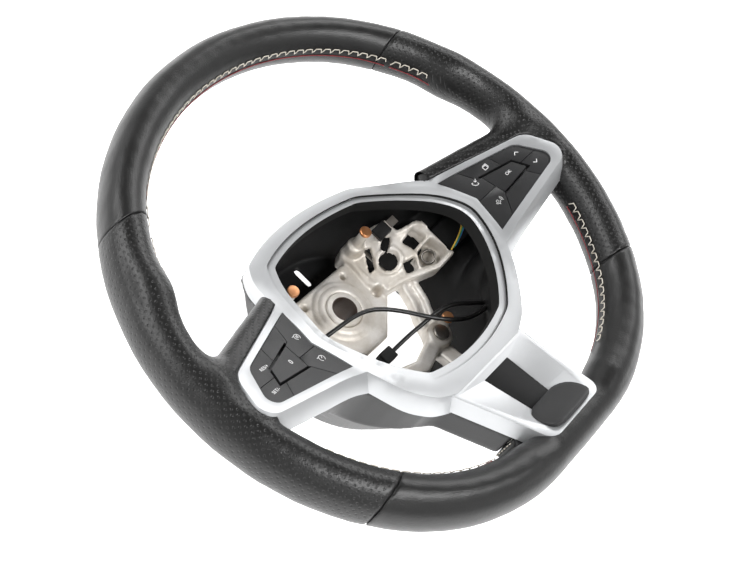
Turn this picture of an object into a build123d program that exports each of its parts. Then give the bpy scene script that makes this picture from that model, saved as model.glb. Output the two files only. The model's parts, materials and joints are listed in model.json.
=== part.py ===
"""Three-spoke car steering wheel with a flattened rim, airbag module taken out.

Millimetres. +Z is the steering axis towards the driver, +Y points to twelve o'clock, +X to the
driver's right. The origin is on the steering axis at the rear end of the hub sleeve.
"""

from build123d import *
from math import atan2, cos, degrees, exp, hypot, log, radians, sin, sqrt, tan
import os

# Rim
rim_z = 100.0
rim_outer_r = 182.5
rim_half_w = 14.0
rim_half_h = 17.8
flat_drop = 12.0
flat_blend_r = 130.0
leather_t = 1.3
ring_core_r = 6.0
seam_top_deg = 40.0
seam_low_deg = -39.5

# Thumb rests on the upper flank of the side spokes
rest_tip = (84.0, 21.5, rim_z - 17.0)
rest_slope_y = -0.136
rest_slope_z = 0.23
rest_w = 19.0
rest_h = 22.0
rest_round = 7.0
rest_tip_round = 5.0

# Satin trim
trim_wall = 2.4
trim_depth = 14.0
trim_flare = 22.0
trim_step = 2.5
trim_lip = 5.5
seat_gap = 0.2
crown_z = rim_z - 0.5
crown_y_up = -6.0
crown_y_low = -52.0
fall_up = 0.70
fall_low = 0.20
crown_soft = 8.0
blend_in = 62.0
blend_out = 95.0
hub_middle_y = -13.0
hub_corner_r = 19.0
opening_corner_r = 16.0
opening_side_r = 25.0
loop_top_r = 15.0
loop_low_r = 11.0
pad_top_r = 11.0
pad_low_r = 7.0
collar_depth = 3.2

# Switch pads: a plane that rises outwards and towards the lower spoke
pad_slope_x = 0.277
pad_slope_y = -0.214
pad_z = rim_z - 2.1
pad_ref_x = 100.0
pad_centre = (115.0, -12.0)
pad_recess = 1.0
key_gap = 0.4
key_ring_gap = 1.6
key_t = 4.0
key_travel = 0.9
dome_clear = 0.4
dome_h = 1.1
dome_r = 2.6
mat_t = 0.8
board_t = 1.4
tray_floor = 1.6
tray_wall = 1.6
tray_top = 3.3
tray_gap = 0.3
plug_at = (92.5, -5.0)
plug_size = (8.0, 6.0)
plug_drop = 6.0
key_split = 0.22
key_wall = 1.1
key_roof = 1.5
plunger_r = 1.8
key_middle = (114.0, -12.0)
key_regions = {
    "inner_upper": (
        (60, -14),
        (104.8, -14),
        (104, -3),
        (100.3, -1.5),
        (96, 10.8),
        (94, 18),
        (60, 30),
    ),
    "inner_lower": (
        (60, -14),
        (60, -50),
        (93.5, -42),
        (95, -36),
        (104.5, -22.3),
        (105.5, -21),
        (104.8, -14),
    ),
    "centre": ((104, -3), (127, -9), (131, -18.6), (105.5, -21)),
    "upper": (
        (94, 18),
        (96, 10.8),
        (100.3, -1.5),
        (104, -3),
        key_middle,
        (120.8, -6.6),
        (119, 4.3),
        (118, 14),
    ),
    "outer_upper": (
        (118, 14),
        (119, 4.3),
        (120.8, -6.6),
        key_middle,
        (130, -13.8),
        (170, -13.8),
        (170, 14),
    ),
    "outer_lower": (
        (170, -13.8),
        (130, -13.8),
        key_middle,
        (127.5, -20.3),
        (132.5, -30.1),
        (135, -40),
        (170, -40),
    ),
    "lower": (
        (135, -40),
        (132.5, -30.1),
        (127.5, -20.3),
        key_middle,
        (105.5, -21),
        (104.5, -22.3),
        (95, -36),
        (93.5, -42),
    ),
}
key_ring = ("upper", "outer_upper", "outer_lower", "lower")
key_centres = {
    "inner_upper": (95.0, 0.0),
    "inner_lower": (95.0, -25.0),
    "centre": (116.0, -12.8),
    "upper": (108.5, 2.0),
    "outer_upper": (132.0, -5.5),
    "outer_lower": (140.0, -20.5),
    "lower": (117.0, -27.5),
}

# Lower spoke
leg_slope = 0.437
leg_top_y = -89.5
leg_top_z = rim_z - 10.3
leg_half_hub = 39.0
leg_half_rim = 27.3
leg_length = 69.0
leg_corner_r = 9.0
leg_tuck = 12.0
leg_depth = 14.0
dish_toe = 4.0
infill_ledge = 0.1
badge_round = 0.6
infill_slope = 0.27
infill_y = -99.0
infill_z = rim_z - 8.0
infill_half_hub = 13.2
infill_half_rim = 10.3
infill_length = 35.0
infill_t = 3.0
dish_hub = (36.0, -5.0)
dish_mid = (27.0, -44.0)
dish_rim = (20.3, -63.7)
badge_t = 2.0
badge_margin = 0.8

# Rear cover
cover_wall = 2.4
cover_head = 130.0
cover_flare = 5.4
cover_reach = 70.0
cover_floor = 3.2
cover_base_r = 76.0
cover_steps = ((98.0, 36.0), (122.0, 57.0), (172.0, 86.0))
cover_open_half = 60.0
cover_open_low = -64.0
cover_open_top = 24.0
cover_open_r = 28.0
cover_post_at = (100.0, -11.0)
cover_post_r = 4.5
cover_post_z = 40.0
cover_slot = (6.0, 12.5)
cover_slot_at = (-3.5, 35.0)

# Armature
sleeve_r = 13.0
sleeve_bore_r = 8.5
sleeve_length = 25.0
plate_top = 22.0
plate_t = 10.0
plate_half = 38.0
plate_y_top = 26.0
plate_y_low = -33.0
plate_corner_r = 12.0
boss_r = 18.0
boss_step_r = 22.0
boss_rise = 2.5
arm_start_x = 33.0
arm_start_z = 25.0
arm_slope = 0.59
arm_t = 11.0
arm_y_low = -22.0
arm_y_top = 0.0
arm_plan = (
    (30.0, 3.0),
    (31.0, 20.0),
    (34.0, 32.0),
    (50.0, 32.0),
    (65.0, 26.0),
    (64.6, 15.4),
    (78.0, 11.0),
    (84.0, arm_y_top),
    (rim_outer_r - rim_half_w, arm_y_top),
    (rim_outer_r - rim_half_w, arm_y_low),
    (84.0, arm_y_low),
    (80.5, -23.8),
    (67.0, -24.4),
    (53.7, -15.6),
    (40.0, -14.7),
    (30.0, -14.0),
)
arm_trough_x = 118.0
arm_trough_length = 66.0
arm_trough_depth = 5.0
arm_rib = 4.0
contact_at = ((38.6, 27.0), (36.0, -53.0))
contact_top = rim_z - 47.5
contact_r = 4.2
contact_t = 2.2
post_r = 3.4
post_foot_r = 6.0
contact_foot = 26.0
contact_edge = 0.5
plate_hole_at = (20.5, 18.0)
plate_hole_r = 2.2
plate_pin_at = (31.7, -5.3)
plate_pin_r = 3.5
boss_drop = 4.0
sleeve_edge = 0.8
round_hole_r = 6.6
round_hole_at = (48.4, 4.0)
oblong_hole = (9.0, 5.0)
oblong_hole_at = (55.0, 14.0)
slot_hole = (4.0, 12.0)
slot_hole_at = (42.0, 15.0)
window_pocket = (13.0, 12.0)
window_pocket_at = (68.0, 3.0)
window_hole = (4.0, 8.0)
dark_pocket_r = 5.5
dark_pocket_at = (57.0, -7.0)
coil_pocket_r = 7.0
coil_pocket_at = (67.5, -13.0)
pocket_depth = 7.0
coil_r = 4.6
coil_wire_r = 0.7
coil_pitch = 2.6
coil_turns = 3
spring_wire_r = 1.3
spring_y = 5.0
spring_half = 20.0
lower_arm_t = 10.0
lower_arm_w = 13.0
lower_arm_way = ((42.0, -14.0), (38.0, -40.0), (27.0, -57.0), (22.0, -75.0), (20.0, -100.0), (20.0, -156.5))
lower_arm_bend = 8.0
lower_arm_tops = ((-8.0, 30.0), (-20.0, 30.0), (-58.0, 40.0), (-156.5, 102.0))
rivet_at = (27.0, -57.0)
rivet_boss_r = 8.4
rivet_boss_h = 13.0
rivet_r = 4.0
rivet_head_r = 5.6
rivet_rise = 2.0
rivet_seat = 45.5

# Plugs and leads inside the hub
horn_plug_at = (58.0, 22.0)
horn_plug = (11.0, 9.0, 8.0)
terminal_reach = 8.0
terminal = (9.0, 6.0, 1.2)
cable_plug_at = (-14.5, -43.7, 40.0)
cable_plug = (11.0, 9.0, 7.0)
plug_nose = (5.0, 6.0, 4.0)
cable_r = 1.5
wire_r = 0.55
wire_pitch = 1.6
bend_share = 0.45
long_route = (
    (-57.0, -7.0, 36.0),
    (-47.0, -8.0, 46.0),
    (-33.0, -9.5, 50.0),
    (-15.0, -11.5, 52.0),
    (-2.0, -17.0, 52.5),
    (10.0, -29.0, 54.0),
    (21.5, -46.0, 56.5),
    (36.5, -60.0, 56.5),
    (52.0, -65.5, 54.0),
    (66.0, -66.0, 51.0),
)
short_route = (
    (-9.0, -43.7, 40.0),
    (6.9, -43.4, 42.5),
    (20.2, -44.8, 49.0),
    (33.9, -45.6, 53.5),
    (46.5, -49.8, 54.0),
    (60.4, -59.0, 53.0),
    (70.0, -63.0, 49.0),
)
wire_route = (
    (95.0, -8.3, 80.9, 0.277),
    (94.5, -9.6, 73.5, 0.277),
    (91.5, -14.0, 66.5, 0.4),
    (86.0, -18.5, 60.0, 0.59),
    (79.5, -21.0, 53.2, 0.59),
)

rim_r = rim_outer_r - rim_half_w
flat_y = flat_drop - rim_r
blend_y = flat_y + flat_blend_r
blend_x = sqrt((rim_r - flat_blend_r) ** 2 - blend_y**2)
blend_deg = degrees(atan2(blend_y, blend_x))

pad_plane = Plane(
    origin=(
        pad_centre[0],
        pad_centre[1],
        pad_z + pad_slope_x * (pad_centre[0] - pad_ref_x) + pad_slope_y * pad_centre[1],
    ),
    x_dir=(1, 0, pad_slope_x),
    z_dir=(-pad_slope_x, -pad_slope_y, 1),
)
leg_plane = Plane(origin=(0, leg_top_y, leg_top_z), x_dir=(1, 0, 0), z_dir=(0, leg_slope, 1))
infill_plane = Plane(origin=(0, infill_y, infill_z), x_dir=(1, 0, 0), z_dir=(0, infill_slope, 1))
badge_low = infill_plane.from_local_coords(Vector(0, -infill_length, 0))
badge_high = leg_plane.from_local_coords(Vector(0, dish_rim[1], 0))
badge_length = (badge_high - badge_low).length
badge_plane = Plane(
    origin=badge_low,
    x_dir=(1, 0, 0),
    z_dir=(0, badge_high.Z - badge_low.Z, badge_low.Y - badge_high.Y),
)


def pad_height(x, y):
    """Height of the pad plane above a front-view point on the right side."""
    return pad_z + pad_slope_x * (x - pad_ref_x) + pad_slope_y * y


def on_pad(points):
    """Front-view points carried onto the pad plane, in that plane's own coordinates."""
    local = [pad_plane.to_local_coords(Vector(x, y, pad_height(x, y))) for x, y in points]
    return [(p.X, p.Y) for p in local]


def soft_ramp(t):
    """A ramp that starts smoothly, used for the fall of the hub trim."""
    return crown_soft * log(1 + exp(t / crown_soft))


def trim_top(x, y):
    """Height of the trim's outer face: a crowned hub that runs out into the pad planes."""
    hub = crown_z - fall_up * soft_ramp(y - crown_y_up) - fall_low * soft_ramp(crown_y_low - y)
    side = pad_height(abs(x), y) + pad_recess
    t = min(max((abs(x) - blend_in) / (blend_out - blend_in), 0), 1)
    share = t * t * (3 - 2 * t)
    return hub + share * (side - hub)


def trim_skin(drop):
    """The trim's outer face as a smooth surface, lowered by drop."""
    reach_x = rim_outer_r - 8
    columns, rows = 33, 19
    low_y, high_y = -116.0, 80.0
    grid = []
    for i in range(columns):
        x = reach_x * (2 * i / (columns - 1) - 1)
        ys = [low_y + (high_y - low_y) * j / (rows - 1) for j in range(rows)]
        grid.append([Vector(x, y, trim_top(x, y) - drop) for y in ys])
    return Face.make_surface_from_array_of_points(grid)


def trim_layer(top_drop, low_drop):
    """Everything between two depths under the trim's outer face."""
    return Solid.extrude(trim_skin(low_drop), Vector(0, 0, low_drop - top_drop))


def arc_span(centre, radius, start_deg, end_deg, half_w, half_h):
    """Part of the rim tube along an arc about a vertical axis."""
    direction = (cos(radians(start_deg)), sin(radians(start_deg)), 0)
    facing = (direction[1], -direction[0], 0)
    origin = (centre[0], centre[1], rim_z)
    with BuildPart() as span:
        with BuildSketch(Plane(origin=origin, x_dir=direction, z_dir=facing)):
            with Locations((radius, 0)):
                Ellipse(half_w, half_h)
        revolve(axis=Axis(origin, (0, 0, 1)), revolution_arc=end_deg - start_deg)
    return span.part


def flat_span(half_w, half_h):
    """The lower part of the rim tube between the two blends, blends included."""
    right = arc_span((blend_x, blend_y), flat_blend_r, -90, blend_deg, half_w, half_h)
    left = arc_span((-blend_x, blend_y), flat_blend_r, 180 - blend_deg, 270, half_w, half_h)
    with BuildPart() as span:
        with BuildSketch(Plane(origin=(-blend_x, flat_y, rim_z), x_dir=(0, 1, 0), z_dir=(1, 0, 0))):
            Ellipse(half_w, half_h)
        extrude(amount=2 * blend_x)
        add([right, left])
    return span.part


def rim_tube(half_w, half_h):
    """The whole closed rim tube."""
    upper = arc_span((0, 0), rim_r, blend_deg, 180 - blend_deg, half_w, half_h)
    lower = flat_span(half_w, half_h)
    with BuildPart() as tube:
        add([upper, lower])
    return tube.part


def mirrored(shape):
    """The same piece on the driver's left."""
    return mirror(shape, about=Plane.YZ, mode=Mode.PRIVATE)


def outward(points, grow):
    """Points of a hub outline moved away from the hub's middle."""
    moved = []
    for x, y in points:
        reach = hypot(x, y - hub_middle_y)
        moved.append((x + grow * x / reach, y + grow * (y - hub_middle_y) / reach))
    return moved


def flipped(points):
    """The same front-view points on the driver's left."""
    return [(-x, y) for x, y in points]


def opening_face(grow):
    """Sketch face of the hub opening's outer step, grown by a distance."""
    top, corner, flank, side, cheek, low_corner, low = outward(
        [(0, 57), (46, 49), (67, 23), (81.4, -13), (69, -45), (42, -77), (0, -84)], grow
    )
    l_corner, l_flank, l_side, l_cheek, l_low = flipped([corner, flank, side, cheek, low_corner])
    with BuildSketch() as face:
        with BuildLine():
            ThreePointArc(l_corner, top, corner)
            ThreePointArc(corner, flank, side)
            ThreePointArc(side, cheek, low_corner)
            ThreePointArc(low_corner, low, l_low)
            ThreePointArc(l_low, l_cheek, l_side)
            ThreePointArc(l_side, l_flank, l_corner)
        make_face()
        ends = face.vertices()
        fillet(ends.group_by(Axis.Y)[-1] + ends.group_by(Axis.Y)[0], opening_corner_r + grow)
        fillet(face.vertices().sort_by(Axis.X)[0], opening_side_r)
        fillet(face.vertices().sort_by(Axis.X)[-1], opening_side_r)
    return face.sketch


def hub_upper_face(grow):
    """Upper half of the hub outline."""
    top, corner, flank, side = outward([(0, 66.5), (52, 57), (76, 29), (92, -6)], grow)
    l_corner, l_flank, l_side = flipped([corner, flank, side])
    with BuildSketch() as face:
        with BuildLine():
            ThreePointArc(l_corner, top, corner)
            ThreePointArc(corner, flank, side)
            Line(side, l_side)
            ThreePointArc(l_side, l_flank, l_corner)
        make_face()
        fillet(face.vertices().group_by(Axis.Y)[-1], hub_corner_r + grow)
    return face.sketch


def hub_lower_face(grow):
    """Lower half of the hub outline."""
    side, flank, corner, low = outward([(90, 6), (77, -50), (47, -86), (0, -97)], grow)
    l_side, l_flank, l_corner = flipped([side, flank, corner])
    with BuildSketch() as face:
        with BuildLine():
            Line(l_side, side)
            ThreePointArc(side, flank, corner)
            ThreePointArc(corner, low, l_corner)
            ThreePointArc(l_corner, l_flank, l_side)
        make_face()
        fillet(face.vertices().group_by(Axis.Y)[0], hub_corner_r + grow)
    return face.sketch


def pad_face(grow):
    """Outline of a switch pad, in the pad plane's coordinates."""
    corners = [(81.6, 15.2), (139.0, -0.8), (152.0, -26.5), (81.4, -38.5), (88.5, -11.5)]
    with BuildSketch() as face:
        Polygon(*on_pad(corners))
        if grow:
            offset(amount=grow, kind=Kind.INTERSECTION)
        fillet(face.vertices().sort_by(Axis.X)[-2], pad_top_r + grow)
        fillet(face.vertices().sort_by(Axis.X)[-1], pad_low_r + grow)
    return face.sketch


def loop_face(grow):
    """Outer outline of the trim loop round a pad, run inwards under the hub."""
    corners = [(66.0, 24.9), (150.5, 0.2), (161.5, -30.3), (66.0, -47.3)]
    with BuildSketch() as face:
        Polygon(*on_pad(corners))
        if grow:
            offset(amount=grow, kind=Kind.INTERSECTION)
        fillet(face.vertices().sort_by(Axis.X)[-2], loop_top_r + grow)
        fillet(face.vertices().sort_by(Axis.X)[-1], loop_low_r + grow)
    return face.sketch


def leg_face(grow):
    """Outline of the lower spoke, in the plane of its legs."""
    with BuildSketch() as face:
        Polygon(
            (-leg_half_hub, leg_tuck),
            (-leg_half_hub, 0),
            (-leg_half_rim, -leg_length),
            (leg_half_rim, -leg_length),
            (leg_half_hub, 0),
            (leg_half_hub, leg_tuck),
        )
        if grow:
            offset(amount=grow, kind=Kind.INTERSECTION)
        fillet(face.vertices().group_by(Axis.Y)[0], leg_corner_r + grow)
    return face.sketch


flare_rate = tan(radians(trim_flare))


def flared(plane, face_maker, top, depth, inset):
    """A block that widens downwards: the outline is true at the plane itself."""
    wide = face_maker(depth * flare_rate - inset)
    narrow = face_maker(-top * flare_rate - inset)
    with BuildPart() as block:
        with BuildSketch(plane.offset(-depth)):
            add(wide)
        with BuildSketch(plane.offset(top)):
            add(narrow)
        loft(ruled=True)
    return block.part


def straight(plane, face_maker, top, depth, grow):
    """A block with straight walls across a plane."""
    face = face_maker(grow)
    with BuildPart() as block:
        with BuildSketch(plane.offset(-depth)):
            add(face)
        extrude(amount=depth + top)
    return block.part


def trim_block(inset, top_drop, low_drop):
    """Hub and pad loops as one filled block between two depths."""
    loop = flared(pad_plane, loop_face, 6, 24, inset)
    upper = straight(Plane.XY.offset(rim_z), hub_upper_face, 10, 80, -inset)
    lower = flared(Plane.XY.offset(rim_z - 5), hub_lower_face, 12, 32, inset)
    with BuildPart() as block:
        add([upper, lower, loop, mirrored(loop)])
        add(trim_layer(top_drop, low_drop), mode=Mode.INTERSECT)
    return block.part


rim_outer = rim_tube(rim_half_w, rim_half_h)
rim_inner = rim_tube(rim_half_w - leather_t, rim_half_h - leather_t)
trim_filled = trim_block(0, 0, trim_depth)
pad_window = straight(pad_plane, pad_face, 10, 30, 0)
pad_collar = straight(pad_plane, pad_face, 10, collar_depth, trim_wall)


def lip_block(grow, drop):
    """The hub opening as a block that reaches down to a depth under the trim's face."""
    with BuildPart() as block:
        with BuildSketch():
            add(opening_face(grow))
        extrude(amount=2 * rim_z)
        add(trim_layer(-crown_soft, drop), mode=Mode.INTERSECT)
    return block.part


# Hub trim
lip_floor = lip_block(trim_wall, trim_step + trim_wall)
lip_step = lip_block(0, trim_step)

with BuildPart() as hub_bezel_hollow:
    add(trim_block(trim_wall, trim_wall, trim_depth + trim_wall))
    with BuildSketch():
        add(opening_face(trim_wall - trim_lip))
    extrude(amount=2 * rim_z, mode=Mode.SUBTRACT)
    add(lip_floor, mode=Mode.SUBTRACT)
    add(pad_collar, mode=Mode.SUBTRACT)
    add(mirrored(pad_collar), mode=Mode.SUBTRACT)

with BuildPart() as hub_bezel:
    add(trim_filled)
    add(hub_bezel_hollow.part, mode=Mode.SUBTRACT)
    add(lip_step, mode=Mode.SUBTRACT)
    with BuildSketch():
        add(opening_face(-trim_lip))
    extrude(amount=2 * rim_z, mode=Mode.SUBTRACT)
    add(pad_window, mode=Mode.SUBTRACT)
    add(mirrored(pad_window), mode=Mode.SUBTRACT)
    add(rim_outer, mode=Mode.SUBTRACT)
hub_bezel_body = hub_bezel.part.solids().sort_by(SortBy.VOLUME)[-1]


# Lower spoke trim, its infill and the bare badge plate
def dish(grow):
    """The hollow between the legs, from its lip down to the infill and the badge."""
    lip = [
        (dish_rim[0] + grow, dish_rim[1] - grow),
        (dish_mid[0] + grow, dish_mid[1]),
        (dish_hub[0] + grow, dish_hub[1] + grow),
    ]
    low = [
        (infill_half_rim + grow, -infill_length - grow),
        (infill_half_rim + grow, -infill_length + dish_toe),
        (infill_half_hub + grow, grow),
    ]
    with BuildPart() as hollow:
        with BuildSketch(leg_plane):
            Polygon(*lip, *reversed(flipped(lip)))
        with BuildSketch(infill_plane.offset(-grow)):
            Polygon(*low, *reversed(flipped(low)))
        loft(ruled=True)
    return hollow.part


def infill_face(grow):
    """Outline of the infill at the bottom of the dish."""
    with BuildSketch() as face:
        Polygon(
            (infill_half_rim, -infill_length),
            (infill_half_hub, 0),
            (-infill_half_hub, 0),
            (-infill_half_rim, -infill_length),
        )
        offset(amount=grow, kind=Kind.INTERSECTION)
    return face.sketch


leg_filled = straight(leg_plane, leg_face, 0, leg_depth, 0)
leg_hollow = straight(leg_plane, leg_face, -trim_wall, leg_depth + trim_wall, -trim_wall)
dish_outer = dish(trim_wall)
dish_inner = dish(0)
infill_slot = straight(infill_plane, infill_face, seat_gap, leg_depth, -infill_ledge)

with BuildPart() as leg_room:
    add(leg_hollow)
    add(dish_outer, mode=Mode.SUBTRACT)

with BuildPart() as lower_spoke_bezel:
    add(leg_filled)
    add(leg_room.part, mode=Mode.SUBTRACT)
    add(dish_inner, mode=Mode.SUBTRACT)
    add(infill_slot, mode=Mode.SUBTRACT)
    add(trim_filled, mode=Mode.SUBTRACT)
    add(rim_outer, mode=Mode.SUBTRACT)
lower_spoke_body = lower_spoke_bezel.part.solids().sort_by(SortBy.VOLUME)[-1]

with BuildPart() as lower_spoke_infill:
    add(infill_slot)
    with BuildSketch(infill_plane.offset(-infill_t)):
        Rectangle(leg_length, 2 * leg_length)
    extrude(amount=-leg_depth, mode=Mode.SUBTRACT)
    add(trim_filled, mode=Mode.SUBTRACT)

with BuildPart() as badge_plate:
    with BuildSketch(badge_plane):
        Polygon(
            (infill_half_rim - badge_margin, -badge_margin),
            (-infill_half_rim + badge_margin, -badge_margin),
            (-dish_rim[0] + badge_margin, badge_margin - badge_length),
            (dish_rim[0] - badge_margin, badge_margin - badge_length),
        )
    extrude(amount=badge_t)
    fillet(badge_plate.edges().group_by(Axis.Z)[-1], badge_round)
    add(rim_outer, mode=Mode.SUBTRACT)


# Rear cover
def bowl(rise):
    """Room inside the bowl-shaped back, its wall moved up by a rise."""
    steps = [(r, z + rise) for r, z in cover_steps]
    with BuildPart() as room:
        with BuildSketch(Plane.XZ):
            Polygon((0, rise), (cover_base_r, rise), *steps, (steps[-1][0], cover_head), (0, cover_head))
        revolve(axis=Axis.Z)
    return room.part


def cover_zone(grow):
    """Hub, side spokes and lower spoke as blocks that run down from the trim."""
    upper = straight(Plane.XY, hub_upper_face, cover_head, 0, grow)
    lower = straight(Plane.XY, hub_lower_face, cover_head, 0, cover_flare + grow)
    loop = straight(pad_plane, loop_face, -trim_wall, cover_reach, cover_flare + grow)
    leg = straight(leg_plane, leg_face, -leg_depth - seat_gap, cover_reach, grow)
    above = trim_layer(-cover_head, trim_depth + seat_gap)
    with BuildPart() as zone:
        add([upper, lower, loop, mirrored(loop)])
        add(above, mode=Mode.SUBTRACT)
        add(leg)
        add(bowl(0 if grow == 0 else cover_floor), mode=Mode.INTERSECT)
    return zone.part


rim_clear = rim_tube(rim_half_w + seat_gap, rim_half_h + seat_gap)
cover_filled = cover_zone(0)
cover_room = cover_zone(-cover_wall)


# Thumb rests: leather-covered tongues along the upper edge of the side spokes
rest_length = rim_r - rest_tip[0]
rest_way = Vector(1, rest_slope_y, rest_slope_z)


def thumb_rest(skin):
    """The tongue's rounded bar, or the bar under a leather skin of that thickness."""
    start = Vector(*rest_tip) - Vector(0, 0, rest_h / 2) + rest_way.normalized() * skin
    with BuildPart() as bar:
        with BuildSketch(Plane(origin=start, x_dir=(0, 1, 0), z_dir=rest_way)):
            RectangleRounded(rest_w - 2 * skin, rest_h - 2 * skin, rest_round - skin)
        extrude(amount=rest_length)
        fillet(bar.faces().sort_by(Axis.X)[0].edges(), rest_tip_round - skin)
        add(trim_filled, mode=Mode.SUBTRACT)
        add(cover_filled, mode=Mode.SUBTRACT)
    return bar.part.solids().sort_by(SortBy.VOLUME)[-1]


# Die-cast armature
arm_plane = Plane(
    origin=(arm_start_x, 0, arm_start_z), x_dir=(1, 0, arm_slope), z_dir=(-arm_slope, 0, 1)
)


def on_arm(x, y):
    """A front-view point carried onto the top of a side arm, in that plane's coordinates."""
    spot = arm_plane.to_local_coords(Vector(x, y, arm_start_z + arm_slope * (x - arm_start_x)))
    return (spot.X, spot.Y)


def arm_top(x):
    """Height of the top of a side arm."""
    return arm_start_z + arm_slope * (x - arm_start_x)


with BuildPart() as side_arm:
    with BuildSketch(Plane.XY):
        Polygon(*arm_plan)
    extrude(amount=2 * rim_z)
    with BuildSketch(Plane.XZ):
        Polygon(
            (arm_plan[0][0], arm_top(arm_plan[0][0])),
            (rim_r, arm_top(rim_r)),
            (rim_r, arm_top(rim_r) - arm_t),
            (arm_plan[0][0], arm_top(arm_plan[0][0]) - arm_t),
        )
    extrude(amount=rim_r, both=True, mode=Mode.INTERSECT)
    with BuildSketch(arm_plane):
        with Locations(on_arm(*round_hole_at)):
            Circle(round_hole_r)
        with Locations(on_arm(*oblong_hole_at)):
            SlotOverall(oblong_hole[0], oblong_hole[1])
        with Locations(on_arm(*slot_hole_at)):
            Rectangle(*slot_hole)
        with Locations(on_arm(*window_pocket_at)):
            Rectangle(*window_hole)
    extrude(amount=-2 * arm_t, mode=Mode.SUBTRACT)
    with BuildSketch(arm_plane):
        with Locations(on_arm(*window_pocket_at)):
            Rectangle(*window_pocket)
        with Locations(on_arm(*dark_pocket_at)):
            Circle(dark_pocket_r)
        with Locations(on_arm(*coil_pocket_at)):
            Circle(coil_pocket_r)
    extrude(amount=-pocket_depth, mode=Mode.SUBTRACT)
    with BuildSketch(arm_plane.offset(-arm_t)):
        with Locations(on_arm(arm_trough_x, (arm_y_low + arm_y_top) / 2)):
            SlotOverall(arm_trough_length, arm_y_top - arm_y_low - 2 * arm_rib)
    extrude(amount=arm_trough_depth, mode=Mode.SUBTRACT)

with BuildPart() as lower_arm:
    with BuildSketch():
        with BuildLine():
            FilletPolyline(*lower_arm_way, radius=lower_arm_bend)
        trace(line_width=lower_arm_w)
        with Locations(contact_at[1]):
            Circle(post_foot_r)
    extrude(amount=2 * rim_z)
    with BuildSketch(Plane.YZ):
        Polygon(*lower_arm_tops, *[(y, z - lower_arm_t) for y, z in reversed(lower_arm_tops)])
    extrude(amount=rim_r, mode=Mode.INTERSECT)

arm_pair = [side_arm.part, mirrored(side_arm.part), lower_arm.part, mirrored(lower_arm.part)]
ring_core = rim_tube(ring_core_r, ring_core_r)

with BuildPart() as horn_springs:
    with BuildSketch(Plane.XZ.offset(-spring_y - spring_half)):
        with Locations(
            (round_hole_at[0], arm_top(round_hole_at[0]) - arm_t),
            (-round_hole_at[0], arm_top(round_hole_at[0]) - arm_t),
        ):
            Circle(spring_wire_r)
    extrude(amount=2 * spring_half)

contact_spots = [*contact_at, *flipped(contact_at)]
rivet_spots = [rivet_at, *flipped([rivet_at])]

with BuildPart() as armature:
    with BuildSketch(Plane.XY.offset(plate_top - plate_t)):
        with Locations((0, (plate_y_top + plate_y_low) / 2)):
            RectangleRounded(2 * plate_half, plate_y_top - plate_y_low, plate_corner_r)
    extrude(amount=plate_t)
    with BuildSketch(Plane.XY.offset(plate_top)):
        Circle(boss_step_r)
    extrude(amount=boss_rise / 2)
    with BuildSketch(Plane.XY.offset(plate_top)):
        Circle(boss_r)
    extrude(amount=boss_rise)
    with BuildSketch(Plane.XY.offset(plate_top - plate_t - boss_drop)):
        Circle(boss_r)
    extrude(amount=boss_drop)
    add(arm_pair)
    with BuildSketch(Plane.XY.offset(contact_foot)):
        with Locations(contact_spots):
            Circle(post_r)
    extrude(amount=contact_top - contact_t - contact_foot)
    with BuildSketch(Plane.XY.offset(rivet_seat - rivet_boss_h)):
        with Locations(rivet_spots):
            Circle(rivet_boss_r)
    extrude(amount=rivet_boss_h)
    with BuildSketch():
        Circle(sleeve_r)
        with Locations(plate_hole_at, *flipped([plate_hole_at])):
            Circle(plate_hole_r)
        with Locations(plate_pin_at, *flipped([plate_pin_at])):
            Circle(plate_pin_r)
    extrude(amount=plate_top + boss_rise, mode=Mode.SUBTRACT)
    with BuildSketch():
        with Locations(rivet_spots):
            Circle(rivet_r)
    extrude(amount=2 * rim_z, mode=Mode.SUBTRACT)
    add(ring_core)
    add(horn_springs.part, mode=Mode.SUBTRACT)

with BuildPart() as hub_sleeve:
    with BuildSketch():
        Circle(sleeve_r)
        Circle(sleeve_bore_r, mode=Mode.SUBTRACT)
    extrude(amount=sleeve_length)
    rounds = hub_sleeve.edges().filter_by(GeomType.CIRCLE).sort_by(SortBy.RADIUS)
    chamfer(rounds[2:], sleeve_edge)

with BuildPart() as horn_contacts:
    with BuildSketch(Plane.XY.offset(contact_top - contact_t)):
        with Locations(contact_spots):
            Circle(contact_r)
    extrude(amount=contact_t)
    chamfer(horn_contacts.edges().group_by(Axis.Z)[-1], contact_edge)

with BuildPart() as arm_rivets:
    with BuildSketch(Plane.XY.offset(rivet_seat - lower_arm_t)):
        with Locations(rivet_spots):
            Circle(rivet_r)
    extrude(amount=lower_arm_t)
    with BuildSketch(Plane.XY.offset(rivet_seat)):
        with Locations(rivet_spots):
            Circle(rivet_head_r)
    extrude(amount=rivet_rise)
    chamfer(arm_rivets.edges().group_by(Axis.Z)[-1], contact_edge)

coil_plane = Plane(
    origin=arm_plane.from_local_coords(Vector(*on_arm(*coil_pocket_at), coil_wire_r - pocket_depth)),
    x_dir=(1, 0, arm_slope),
    z_dir=(-arm_slope, 0, 1),
)
with BuildPart() as coil:
    with BuildLine(coil_plane) as turns:
        Helix(coil_pitch, coil_pitch * coil_turns, coil_r, direction=coil_plane.z_dir)
    with BuildSketch(Plane(origin=turns.line @ 0, z_dir=turns.line % 0)):
        Circle(coil_wire_r)
    sweep(is_frenet=True)

with BuildPart() as airbag_springs:
    add([coil.part, mirrored(coil.part)])

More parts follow.
